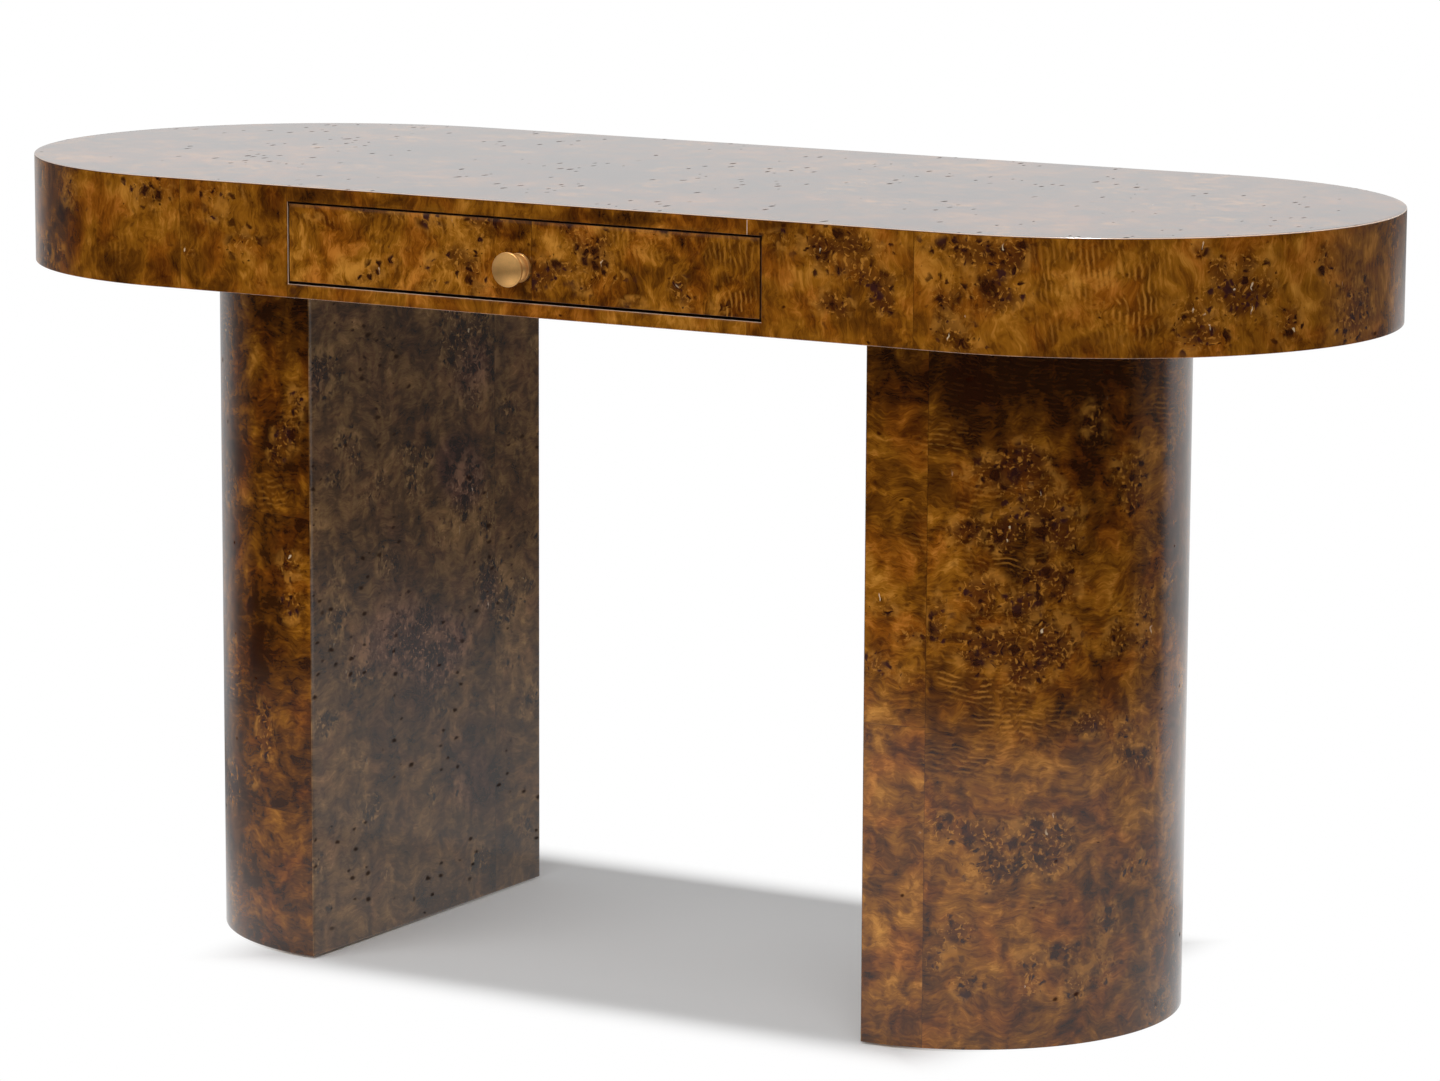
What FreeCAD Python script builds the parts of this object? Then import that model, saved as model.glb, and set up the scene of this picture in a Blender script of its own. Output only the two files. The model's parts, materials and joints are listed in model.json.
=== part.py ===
"""Racetrack desk in burl veneer, with half-round legs and one flush drawer.

Millimetres. X runs along the desk, Y from the front to the back and Z up from the floor. The origin is on
the floor, midway along the desk and midway between the tip of the knob and the back edge.
"""
import FreeCAD, Part
import os
import re
from collections import namedtuple
from math import acos, atan2, pi

import Sketcher

# Driving dimensions: name, value and meaning
SIZES = (
    # The whole desk
    ("desk_length", 1420, "over the round ends"),
    ("desk_depth", 572, "front to back, and twice the radius of the round ends"),
    ("desk_height", 762, "floor to worktop"),
    ("top_box_height", 105, "top box with its veneers"),
    ("leg_setback", 406, "end of the desk to the flat face of a leg"),
    ("leg_width", 406, "flat face of a leg, and twice the radius of its round back"),
    ("veneer_thickness", 1, "burl veneer with its lacquer"),
    ("arris_share", 0.7, "rounding of a veneer edge as a share of the veneer"),
    # Cores of the top box
    ("top_core", 14, "top panel"),
    ("underside_core", 13, "underside panel"),
    ("band_core", 15, "end bands and rails"),
    ("divider_core", 15, "boards beside the drawer"),
    ("rib_core", 15, "ribs over the legs"),
    # Cores of a leg
    ("leg_panel_core", 14, "flat panel"),
    ("shell_wall", 12, "bent shell"),
    ("block_core", 18, "top and base blocks"),
    ("batten_size", 22, "corner battens, square"),
    ("hand_hole", 120, "hole in the base block, diameter"),
    # Leg fastening
    ("bolt_inset", 50, "bolts in from the shell of the leg"),
    ("near_bolt_inset", 35, "first pair of bolts behind the flat panel"),
    ("far_bolt_share", 0.85, "second pair of bolts out from the flat face as a share of their circle"),
    ("bolt_diameter", 8, "shank"),
    ("bolt_head_width", 13, "hexagon head across its flats"),
    ("bolt_head_height", 5.3, "hexagon head"),
    ("bolt_clearance", 1, "hole wider than the shank"),
    ("bolt_end", 3, "thread standing above the tee nut"),
    ("washer_diameter", 24, "outside"),
    ("washer_height", 2, "thickness"),
    ("washer_clearance", 0.4, "washer hole wider than the shank"),
    ("tee_flange_diameter", 22, "flange of a tee nut"),
    ("tee_flange_height", 2, "flange of a tee nut"),
    ("tee_barrel_diameter", 10.5, "barrel of a tee nut"),
    ("tee_barrel_length", 10, "barrel of a tee nut"),
    # Glides
    ("glide_diameter", 24, "at the leg"),
    ("glide_height", 2, "gap between leg and floor"),
    ("glide_flat_share", 0.85, "flat under the glide as a share of its diameter"),
    ("glide_nail_diameter", 3, "nail"),
    ("glide_nail_length", 12, "nail above the glide"),
    ("glide_inset", 26, "glides in from the shell of the leg"),
    ("near_glide_inset", 19, "first pair of glides behind the flat panel"),
    ("far_glide_share", 0.8, "second pair of glides out from the flat face as a share of their circle"),
    # Drawer
    ("opening_inset", 48, "half the kneehole less half the drawer opening"),
    ("drawer_offset", -13, "middle of the opening from the middle of the desk"),
    ("face_gap_side", 1.5, "each side of the drawer face"),
    ("face_gap_top", 1.5, "above the drawer face"),
    ("face_gap_bottom", 2.5, "below the drawer face"),
    ("face_core", 14, "drawer face without its veneer"),
    ("box_wall", 12, "sub-front, sides and back of the drawer box"),
    ("box_rise", 6, "drawer box above the bottom edge of the face"),
    ("box_drop", 9, "drawer box below the top edge of the face"),
    ("bottom_ply", 5, "drawer bottom"),
    ("bottom_rise", 8, "drawer bottom above the bottom edge of the box"),
    ("groove_depth", 5, "groove that holds the drawer bottom"),
    # Knob
    ("knob_reach", 25, "drawer face to the tip"),
    ("knob_diameter", 32, "head"),
    ("knob_crown", 2.5, "rise of the domed front"),
    ("knob_rim", 5, "edge of the head"),
    ("knob_rim_round", 1.8, "rounding of the edge of the head"),
    ("knob_neck", 14, "neck diameter"),
    ("knob_neck_round", 2.5, "hollow at both ends of the neck"),
    ("knob_foot", 27, "foot diameter"),
    ("knob_foot_height", 4, "foot"),
    ("knob_foot_round", 1.2, "rounding of the foot"),
    ("knob_drop", 7, "knob below the middle of the drawer face"),
    # Drawer screws
    ("knob_screw_diameter", 4, "thread"),
    ("knob_screw_head", 8, "head diameter"),
    ("knob_screw_head_height", 3, "head"),
    ("knob_thread_depth", 12, "thread inside the knob"),
    ("screw_head", 7, "countersunk head of a wood screw"),
    ("screw_shank", 3.5, "shank of a wood screw"),
    ("slide_screw_length", 10, "over the head"),
    ("slide_screw_inset", 36, "first and last screw from the ends of a slide"),
    ("face_screw_length", 22, "over the head"),
    ("face_screw_side", 60, "face screws in from the sides of the drawer box"),
    ("face_screw_inset", 10, "face screws above the drawer bottom and below the top of the box"),
    # Drawer slides
    ("slide_gap", 12.7, "divider to drawer side"),
    ("slide_length", 400, "outer member"),
    ("slide_height", 35, "outer member"),
    ("slide_steel", 1.2, "strip that the members are rolled from"),
    ("slide_lip", 3.2, "turned lip of the outer member"),
    ("slide_setback", 2, "members behind the drawer face"),
    ("drawer_travel", 280, "shut to fully open"),
    ("stop_tab", 2, "end stops of the members"),
    ("stop_tab_height", 10, "end stop of the outer member"),
    ("stop_play", 0.3, "running gap at the end stops"),
    ("ball_size", 4.76, "ball diameter"),
    ("ball_play", 0.15, "running gap of a ball"),
    ("ball_pitch", 18, "ball to ball along the cage"),
    ("ball_margin", 8, "cage end to the first ball"),
    ("cage_steel", 0.6, "strip that the cage is rolled from"),
    ("cage_gap", 0.5, "cage to the outer member"),
    ("cage_tip_gap", 1.7, "cage web to the edge of the inner member"),
    ("bumper_length", 8, "rubber stop behind the inner member"),
    ("bumper_width", 6, "rubber stop out from the outer member"),
    ("bumper_height", 16, "rubber stop"),
    # Cutting tools reach this far past what they cut
    ("overrun", 5, "tool beyond the work"),
)

# Measures worked out from the driving dimensions; y is counted from the middle of the worktop
DERIVED = {
    "end_radius": "desk_depth / 2",
    "core_radius": "end_radius - veneer_thickness",
    "band_inside": "core_radius - band_core",
    "end_centre": "desk_length / 2 - end_radius",
    "arris": "veneer_thickness * arris_share",
    "box_base": "desk_height - top_box_height",
    "cavity_floor": "box_base + underside_core",
    "core_top": "desk_height - veneer_thickness",
    "cavity_top": "core_top - top_core",
    "leg_x": "desk_length / 2 - leg_setback",
    "opening_half": "leg_x - opening_inset",
    "leg_radius": "leg_width / 2",
    "leg_core": "leg_radius - veneer_thickness",
    "leg_inside": "leg_core - shell_wall",
    "panel_back": "veneer_thickness + leg_panel_core",
    "bolt_circle": "leg_inside - bolt_inset",
    "near_bolt_x": "panel_back + near_bolt_inset",
    "near_bolt_y": "(bolt_circle ^ 2 - near_bolt_x ^ 2) ^ 0.5",
    "far_bolt_x": "bolt_circle * far_bolt_share",
    "far_bolt_y": "bolt_circle * (1 - far_bolt_share ^ 2) ^ 0.5",
    "glide_circle": "leg_inside - glide_inset",
    "near_glide_x": "panel_back + near_glide_inset",
    "near_glide_y": "(glide_circle ^ 2 - near_glide_x ^ 2) ^ 0.5",
    "far_glide_x": "glide_circle * far_glide_share",
    "far_glide_y": "glide_circle * (1 - far_glide_share ^ 2) ^ 0.5",
    "rib_x": "leg_x + (near_bolt_x + far_bolt_x) / 2",
    "hand_hole_x": "(panel_back + leg_inside) / 2",
    "face_back": "face_core - core_radius",
    "face_half": "opening_half - face_gap_side",
    "face_bottom": "cavity_floor + face_gap_bottom",
    "face_top": "cavity_top - face_gap_top",
    "box_bottom": "face_bottom + box_rise",
    "box_top": "face_top - box_drop",
    "box_half": "opening_half - slide_gap",
    "box_inside": "box_half - box_wall",
    "face_screw_x": "box_inside - face_screw_side",
    "box_back": "slide_front + slide_length",
    "bottom_low": "box_bottom + bottom_rise",
    "knob_z": "(face_bottom + face_top) / 2 - knob_drop",
    "slide_front": "face_back + slide_setback",
    "slide_z": "(box_bottom + box_top) / 2",
    "inner_length": "slide_length - bumper_length - stop_play",
    "cage_near": "slide_steel + cage_gap",
    "cage_web": "cage_near + cage_steel",
    "inner_tip": "cage_web + cage_tip_gap",
    "ball_out": "cage_web + cage_gap + ball_size / 2",
    "ball_up": "slide_height / 2 - slide_steel - ball_play - ball_size / 2",
    "inner_half": "ball_up - ball_size / 2 - ball_play",
    "cage_half": "ball_up + cage_steel / 2",
    "cage_tip": "ball_out + ball_size / 2 + cage_gap / 2",
    "outer_tip": "ball_out + ball_size / 2 + cage_gap + slide_steel",
    "cage_start": "stop_tab + stop_play + drawer_travel / 2",
    "cage_length": "inner_length - drawer_travel - 2 * (stop_tab + stop_play)",
}

# The two sides: a name, its sign along X and how a leg drawn for the right turns to that side
ABOUT_Z = FreeCAD.Vector(0, 0, 1)
Side = namedtuple("Side", "name sign turn")
SIDES = (Side("left", -1, FreeCAD.Rotation(ABOUT_Z, 180)), Side("right", 1, FreeCAD.Rotation()))

# How a turned piece, drawn along Y, is laid in place
UPWARD = FreeCAD.Rotation(FreeCAD.Vector(1, 0, 0), 90)
FORWARD = FreeCAD.Rotation(ABOUT_Z, 180)
TO_SIDE = {-1: FreeCAD.Rotation(ABOUT_Z, 90), 1: FreeCAD.Rotation(ABOUT_Z, -90)}

# Axes of a sketch and the points of its curves, as the sketcher counts them
ACROSS_AXIS, UP_AXIS = range(-1, -3, -1)
START, END, CENTRE = range(1, 4)
ORIGIN = (ACROSS_AXIS, START)

doc = FreeCAD.newDocument("desk")
sheet = doc.addObject("Spreadsheet::Sheet", "Sizes")
for row, (name, size, meaning) in enumerate(SIZES, start=1):
    sheet.set(f"A{row}", meaning)
    sheet.set(f"B{row}", str(size))
    sheet.setAlias(f"B{row}", name)
doc.recompute()

derived_name = re.compile(r"\b(" + "|".join(DERIVED) + r")\b")
size_name = re.compile(r"\b(" + "|".join(name for name, _, _ in SIZES) + r")\b")
pieces = []


def bind(expression):
    """Spell out the derived measures and point each dimension at its cell."""
    while derived_name.search(expression):
        expression = derived_name.sub(lambda found: f"({DERIVED[found.group()]})", expression)
    return size_name.sub(r"Sizes.\g<0>", expression)


def value(expression):
    """Present value of an expression."""
    return float(sheet.evalExpression(bind(expression)))


def put(piece, x, y, z, rotation=FreeCAD.Rotation()):
    """Place a piece, counting y from the middle of the worktop."""
    piece.Placement = FreeCAD.Placement(FreeCAD.Vector(), rotation)
    for axis, place in zip("xyz", (x, f"{y} + knob_reach / 2", z)):
        piece.setExpression(f"Placement.Base.{axis}", bind(place))


def mirrored(span):
    """The same span on the other side of zero."""
    return f"-({span[1]})", f"-({span[0]})"


def on_side(sign, span, middle="0"):
    """A span counted outwards from a middle plane, on one side of it."""
    low, high = span if sign > 0 else mirrored(span)
    return f"{middle} + ({low})", f"{middle} + ({high})"


def board(label, x, y, z):
    """Straight board that fills three spans."""
    box = doc.addObject("Part::Box", label)
    for side, (low, high) in zip(("Length", "Width", "Height"), (x, y, z)):
        box.setExpression(side, bind(f"({high}) - ({low})"))
    put(box, x[0], y[0], z[0])
    return box


def rod(label, radius, length, x, y, z):
    """Upright cylinder standing on a point."""
    cylinder = doc.addObject("Part::Cylinder", label)
    cylinder.setExpression("Radius", bind(radius))
    cylinder.setExpression("Height", bind(length))
    put(cylinder, x, y, z)
    return cylinder


def gathered(label, members):
    """Several separate solids in one piece."""
    compound = doc.addObject("Part::Compound", label)
    compound.Links = members
    return compound


def copies(label, master, places, rotation):
    """The same small part set at several places."""
    links = []
    for place in places:
        link = doc.addObject("App::Link", f"{label}_copy")
        link.LinkedObject = master
        put(link, *place, rotation)
        links.append(link)
    return gathered(label, links)


def cut(label, blank, *tools):
    """A blank less the solids that pass through it."""
    result = doc.addObject("Part::Cut", label)
    result.Base = blank
    result.Tool = tools[0] if len(tools) == 1 else gathered(f"{label}_tools", list(tools))
    return result


def shared(label, first, second):
    """What two solids have in common."""
    result = doc.addObject("Part::Common", label)
    result.Base = first
    result.Tool = second
    return result


def new_sketch(body, role):
    """Empty sketch on one of a body's own planes."""
    sketch = body.newObject("Sketcher::SketchObject", f"{body.Name}_outline")
    plane = next(plane for plane in body.Origin.OriginFeatures if plane.Role == role)
    sketch.AttachmentSupport = (plane, [""])
    sketch.MapMode = "FlatFace"
    return sketch


def dimension(sketch, kind, where, size):
    """Dimension of a sketch, bound to the sheet; a distance of zero is a point on an axis."""
    if size == "0":
        axis = UP_AXIS if kind == "DistanceX" else ACROSS_AXIS
        sketch.addConstraint(Sketcher.Constraint("PointOnObject", *where[-2:], axis))
        return
    index = sketch.addConstraint(Sketcher.Constraint(kind, *where, value(size)))
    name = f"{kind}_{index}"
    sketch.renameConstraint(index, name)
    sketch.setExpression(f"Constraints.{name}", bind(size))


def join(sketch, *pairs):
    """Make points of a sketch coincide, pair by pair."""
    for first, second in pairs:
        sketch.addConstraint(Sketcher.Constraint("Coincident", *first, *second))


def centred_arc(sketch, radius, start, end):
    """Arc about the sketch's origin."""
    circle = Part.Circle(FreeCAD.Vector(), ABOUT_Z, value(radius))
    arc = sketch.addGeometry(Part.ArcOfCircle(circle, start, end), False)
    join(sketch, ((arc, CENTRE), ORIGIN))
    dimension(sketch, "Radius", (arc,), radius)
    return arc


def upright_line(sketch, x, low, high):
    """Upright line at a distance from the sketch's origin."""
    ends = (FreeCAD.Vector(value(x), low, 0), FreeCAD.Vector(value(x), high, 0))
    line = sketch.addGeometry(Part.LineSegment(*ends), False)
    sketch.addConstraint(Sketcher.Constraint("Vertical", line))
    dimension(sketch, "DistanceX", (*ORIGIN, line, START), x)
    return line


def stadium(sketch, radius):
    """Racetrack outline: two straights joined by half circles about the desk's end centres."""
    half, reach = value("end_centre"), value(radius)
    right_circle = Part.Circle(FreeCAD.Vector(half, 0, 0), ABOUT_Z, reach)
    left_circle = Part.Circle(FreeCAD.Vector(-half, 0, 0), ABOUT_Z, reach)
    curves = [
        Part.LineSegment(FreeCAD.Vector(-half, -reach, 0), FreeCAD.Vector(half, -reach, 0)),
        Part.ArcOfCircle(right_circle, -pi / 2, pi / 2),
        Part.LineSegment(FreeCAD.Vector(half, reach, 0), FreeCAD.Vector(-half, reach, 0)),
        Part.ArcOfCircle(left_circle, pi / 2, 3 * pi / 2),
    ]
    front, right, back, left = sketch.addGeometry(curves, False)
    for first, second in ((front, right), (right, back), (back, left), (left, front)):
        sketch.addConstraint(Sketcher.Constraint("Tangent", first, END, second, START))
    sketch.addConstraint(Sketcher.Constraint("Equal", left, right))
    sketch.addConstraint(Sketcher.Constraint("Horizontal", front))
    sketch.addConstraint(Sketcher.Constraint("Symmetric", left, CENTRE, right, CENTRE, *ORIGIN))
    dimension(sketch, "DistanceX", (left, CENTRE, right, CENTRE), "2 * end_centre")
    dimension(sketch, "Radius", (right,), radius)


def polygon(sketch, points, crowned=None):
    """Closed outline through points; a crowned side is an arc about the sketch's upright axis."""
    corners = [FreeCAD.Vector(value(x), value(y), 0) for x, y in points]
    for index, corner in enumerate(corners):
        following = corners[(index + 1) % len(corners)]
        side = Part.LineSegment(corner, following)
        if index == crowned:
            middle = (following.y ** 2 - corner.y ** 2 - corner.x ** 2) / (2 * (following.y - corner.y))
            circle = Part.Circle(FreeCAD.Vector(0, middle, 0), ABOUT_Z, following.y - middle)
            side = Part.ArcOfCircle(circle, atan2(corner.y - middle, corner.x), pi / 2)
        sketch.addGeometry(side, False)
    join(sketch, *(((side, END), ((side + 1) % len(points), START)) for side in range(len(points))))
    if crowned is not None:
        sketch.addConstraint(Sketcher.Constraint("PointOnObject", crowned, CENTRE, UP_AXIS))
    for index, (x, y) in enumerate(points):
        dimension(sketch, "DistanceX", (*ORIGIN, index, START), x)
        dimension(sketch, "DistanceY", (*ORIGIN, index, START), y)


def pad(body, sketch, length, backwards=False):
    """Thicken a sketch."""
    feature = body.newObject("PartDesign::Pad", f"{body.Name}_pad")
    feature.Profile = sketch
    feature.Reversed = backwards
    feature.setExpression("Length", bind(length))
    return feature


def eased(body, feature, radius, chosen):
    """Round the edges of a feature whose middle points pass a test."""
    doc.recompute()
    names = []
    for index, edge in enumerate(feature.Shape.Edges, start=1):
        middle = edge.valueAt((edge.FirstParameter + edge.LastParameter) / 2)
        if chosen(middle):
            names.append(f"Edge{index}")
    fillet = body.newObject("PartDesign::Fillet", f"{body.Name}_round")
    fillet.Base = (feature, names)
    fillet.setExpression("Radius", bind(radius))
    return fillet


def same(first, second):
    """Whether two lengths are equal as far as the geometry can tell."""
    return abs(first - second) < Part.Precision.confusion()


def slab(label, low, high, *radii):
    """Racetrack panel, or a ring where a second radius is given."""
    body = doc.addObject("PartDesign::Body", label)
    sketch = new_sketch(body, "XY_Plane")
    for radius in radii:
        stadium(sketch, radius)
    pad(body, sketch, f"({high}) - ({low})")
    put(body, "0", "0", low)
    return body


def half_ring(label, outer, inner, begin, low, high):
    """Half ring on the +X side of the plane at the distance begin from its axis."""
    body = doc.addObject("PartDesign::Body", label)
    sketch = new_sketch(body, "XY_Plane")
    start, wide, narrow = value(begin), value(outer), value(inner)
    outer_turn, inner_turn = acos(start / wide), acos(start / narrow)
    outside = centred_arc(sketch, outer, -outer_turn, outer_turn)
    inside = centred_arc(sketch, inner, -inner_turn, inner_turn)
    outer_end, inner_end = (wide ** 2 - start ** 2) ** 0.5, (narrow ** 2 - start ** 2) ** 0.5
    back = upright_line(sketch, begin, inner_end, outer_end)
    front = upright_line(sketch, begin, -outer_end, -inner_end)
    join(sketch, ((outside, END), (back, END)), ((inside, END), (back, START)))
    join(sketch, ((outside, START), (front, START)), ((inside, START), (front, END)))
    pad(body, sketch, f"({high}) - ({low})")
    return body


def half_disc(label, radius, begin, thickness):
    """Half disc on the +X side of the plane at the distance begin from its axis."""
    body = doc.addObject("PartDesign::Body", label)
    sketch = new_sketch(body, "XY_Plane")
    turn = acos(value(begin) / value(radius))
    half = (value(radius) ** 2 - value(begin) ** 2) ** 0.5
    round_side = centred_arc(sketch, radius, -turn, turn)
    flat_side = upright_line(sketch, begin, -half, half)
    join(sketch, ((round_side, START), (flat_side, START)), ((round_side, END), (flat_side, END)))
    pad(body, sketch, thickness)
    return body


def chord_board(label, radius, planes, height):
    """Board between two planes of a cylinder, its edges following the cylinder."""
    body = doc.addObject("PartDesign::Body", label)
    sketch = new_sketch(body, "XY_Plane")
    wide = value(radius)
    near, far = planes
    near_turn, far_turn = acos(value(near) / wide), acos(value(far) / wide)
    near_half = (wide ** 2 - value(near) ** 2) ** 0.5
    far_half = (wide ** 2 - value(far) ** 2) ** 0.5
    back = centred_arc(sketch, radius, far_turn, near_turn)
    front = centred_arc(sketch, radius, -near_turn, -far_turn)
    near_side = upright_line(sketch, near, -near_half, near_half)
    far_side = upright_line(sketch, far, -far_half, far_half)
    join(sketch, ((near_side, END), (back, END)), ((far_side, END), (back, START)))
    join(sketch, ((near_side, START), (front, START)), ((far_side, START), (front, END)))
    low, high = height
    return body, pad(body, sketch, f"({high}) - ({low})")


def turned(label, points, crowned=None):
    """Piece turned about Y from an outline of radius and distance."""
    body = doc.addObject("PartDesign::Body", label)
    sketch = new_sketch(body, "XY_Plane")
    polygon(sketch, points, crowned)
    turning = body.newObject("PartDesign::Revolution", f"{label}_turning")
    turning.Profile = sketch
    turning.ReferenceAxis = (sketch, ["V_Axis"])
    turning.Angle = 360
    return body, turning


def rolled(label, section, length):
    """Strip rolled to a section, running back from its front end."""
    body = doc.addObject("PartDesign::Body", label)
    sketch = new_sketch(body, "XZ_Plane")
    polygon(sketch, section)
    pad(body, sketch, length, backwards=True)
    return body


def end_tab(body, section, length, start="0"):
    """Tab bent across a rolled strip, at a distance from its front end."""
    sketch = new_sketch(body, "XZ_Plane")
    sketch.setExpression("AttachmentOffset.Base.z", bind(f"-({start})"))
    polygon(sketch, section)
    pad(body, sketch, length, backwards=True)


def countersunk_screw(label, length):
    """Wood screw, drawn from the face of its head."""
    cone = "(screw_head - screw_shank) / 2"
    outline = [("0", "0"), ("screw_head / 2", "0"), ("screw_shank / 2", cone), ("screw_shank / 2", length),
               ("0", length)]
    return turned(label, outline)[0]


def is_outer_edge(point):
    """Whether a point of the apron sheet lies on its outer side."""
    beyond = max(abs(point.x) - value("end_centre"), 0)
    return same((beyond ** 2 + point.y ** 2) ** 0.5, value("end_radius"))


def make_top_box(outer_screws):
    """Racetrack box: veneers, top panel, bent ends, rails, dividers and ribs."""
    cavity = ("cavity_floor", "cavity_top")
    make_top_veneers(cavity)
    pieces.append(slab("top_panel", "cavity_top", "core_top", "core_radius"))
    rail = ("-core_radius", "-band_inside")
    spans = {"left": ("-end_centre", "drawer_offset - opening_half"),
             "right": ("drawer_offset + opening_half", "end_centre")}
    void = slab("box_cavity", *cavity, "band_inside")
    for side in SIDES:
        band = half_ring(f"{side.name}_end_band", "core_radius", "band_inside", "0", *cavity)
        put(band, f"{side.sign} * end_centre", "0", "cavity_floor", side.turn)
        pieces.extend((band, board(f"front_{side.name}_rail", spans[side.name], rail, cavity)))
        make_box_partitions(side, cavity, void, outer_screws)
    pieces.append(board("back_rail", ("-end_centre", "end_centre"), mirrored(rail), cavity))


def make_top_veneers(cavity):
    """Worktop veneer, and one apron veneer round the whole edge with the drawer opening cut out."""
    worktop = slab("worktop_veneer", "core_top", "desk_height", "end_radius")
    eased(worktop, worktop.Tip, "arris", lambda point: same(point.z, value("veneer_thickness")))
    opening = board("drawer_opening", on_side(1, ("-opening_half", "opening_half"), "drawer_offset"),
                    ("-end_radius - overrun", "overrun - band_inside"), cavity)
    wrap = slab("apron_sheet", "box_base", "core_top", "end_radius", "core_radius")
    eased(wrap, wrap.Tip, "arris", lambda point: same(point.z, 0) and is_outer_edge(point))
    pieces.extend((worktop, cut("apron_veneer", wrap, opening)))


def make_box_partitions(side, cavity, void, outer_screws):
    """Divider beside the drawer and rib over the leg, both fitted to the inside of the box."""
    across = ("-band_inside", "band_inside")
    divider_span = on_side(side.sign, ("opening_half", "opening_half + divider_core"), "drawer_offset")
    divider_blank = board(f"{side.name}_divider_blank", divider_span, across, cavity)
    fitted = shared(f"{side.name}_divider_fitted", divider_blank, void)
    rib_span = on_side(side.sign, ("rib_x - rib_core / 2", "rib_x + rib_core / 2"))
    rib_blank = board(f"{side.name}_rib_blank", rib_span, across, cavity)
    pieces.append(cut(f"{side.name}_divider", fitted, outer_screws))
    pieces.append(shared(f"{side.name}_cross_rib", rib_blank, void))


def set_leg(side, piece, z="glide_height"):
    """Stand a piece, drawn about a leg's axis, at the leg on that side."""
    put(piece, f"{side.sign} * leg_x", "0", z, side.turn)
    return piece


def four_places(side, kind, z):
    """Places of the four bolts or glides of a leg."""
    return [(f"{side.sign} * (leg_x + {row}_{kind}_x)", f"{way} * {row}_{kind}_y", z)
            for way in (-1, 1) for row in ("near", "far")]


def bolt_drills(side, diameter, thickness, low):
    """Drills at the bolts of a leg, through a board of that thickness."""
    return [rod(f"{side.name}_bolt_drill", f"({diameter}) / 2", f"{thickness} + 2 * overrun", *place)
            for place in four_places(side, "bolt", f"{low} - overrun")]


def make_leg_walls(side):
    """Veneers, flat panel and bent shell of a half-round leg."""
    height = ("glide_height", "box_base")
    bent = half_ring(f"{side.name}_leg_curved_veneer", "leg_radius", "leg_core", "veneer_thickness", *height)
    face = ("0", "veneer_thickness")
    flat, sheet_pad = chord_board(f"{side.name}_leg_flat_veneer", "leg_radius", face, height)
    eased(flat, sheet_pad, "arris",
          lambda point: same(point.x, 0) and same(abs(point.y), value("leg_radius")))
    panel, _ = chord_board(f"{side.name}_leg_panel", "leg_core", ("veneer_thickness", "panel_back"), height)
    shell = half_ring(f"{side.name}_leg_shell", "leg_core", "leg_inside", "panel_back", *height)
    pieces.extend(set_leg(side, piece) for piece in (bent, flat, panel, shell))


def make_leg_fasteners(side):
    """Bolts, washers and tee nuts that hold a leg to the underside panel."""
    washer_low = "box_base - block_core - washer_height"
    washers = copies(f"{side.name}_leg_washers", washer, four_places(side, "bolt", washer_low), UPWARD)
    heads_at = four_places(side, "bolt", f"{washer_low} - bolt_head_height")
    bolts = copies(f"{side.name}_leg_bolts", bolt, heads_at, FreeCAD.Rotation())
    barrels_at = four_places(side, "bolt", "cavity_floor - tee_barrel_length")
    nuts = copies(f"{side.name}_leg_tee_nuts", tee_nut, barrels_at, UPWARD)
    pieces.extend((bolts, washers, nuts))


def make_leg_blocks(side):
    """Top block with its bolt holes, and base block with its hand hole, on glides."""
    top_low = "box_base - block_core"
    top_blank = half_disc(f"{side.name}_top_block_blank", "leg_inside", "panel_back", "block_core")
    drills = bolt_drills(side, "bolt_diameter + bolt_clearance", "block_core", top_low)
    top_block = cut(f"{side.name}_leg_top_block", set_leg(side, top_blank, top_low), *drills)
    glides = copies(f"{side.name}_leg_glides", glide, four_places(side, "glide", "0"), UPWARD)
    hand_hole = rod(f"{side.name}_hand_hole", "hand_hole / 2", "block_core + 2 * overrun",
                    f"{side.sign} * (leg_x + hand_hole_x)", "0", "glide_height - overrun")
    base_blank = half_disc(f"{side.name}_base_block_blank", "leg_inside", "panel_back", "block_core")
    base_block = cut(f"{side.name}_leg_base_block", set_leg(side, base_blank), hand_hole, glides)
    pieces.extend((top_block, base_block, glides))


def make_leg_battens(side):
    """Corner battens between the blocks of a leg, rounded where they meet its shell."""
    low, high = "glide_height + block_core", "box_base - block_core"
    axis = f"{side.sign} * leg_x"
    inside = rod(f"{side.name}_leg_hollow", "leg_inside", f"{high} - ({low})", axis, "0", low)
    across = on_side(side.sign, ("panel_back", "panel_back + batten_size"), axis)
    battens = []
    for way in (-1, 1):
        along = on_side(way, ("leg_inside - batten_size", "leg_inside"))
        blank = board(f"{side.name}_batten_blank", across, along, (low, high))
        battens.append(shared(f"{side.name}_batten", blank, inside))
    pieces.append(gathered(f"{side.name}_leg_battens", battens))


def make_underside():
    """Underside panel, bored for the tee nuts of both legs."""
    drills = []
    for side in SIDES:
        drills.extend(bolt_drills(side, "tee_barrel_diameter", "underside_core", "box_base"))
    blank = slab("underside_blank", "box_base", "cavity_floor", "core_radius")
    pieces.append(cut("underside_panel", blank, *drills))


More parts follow.
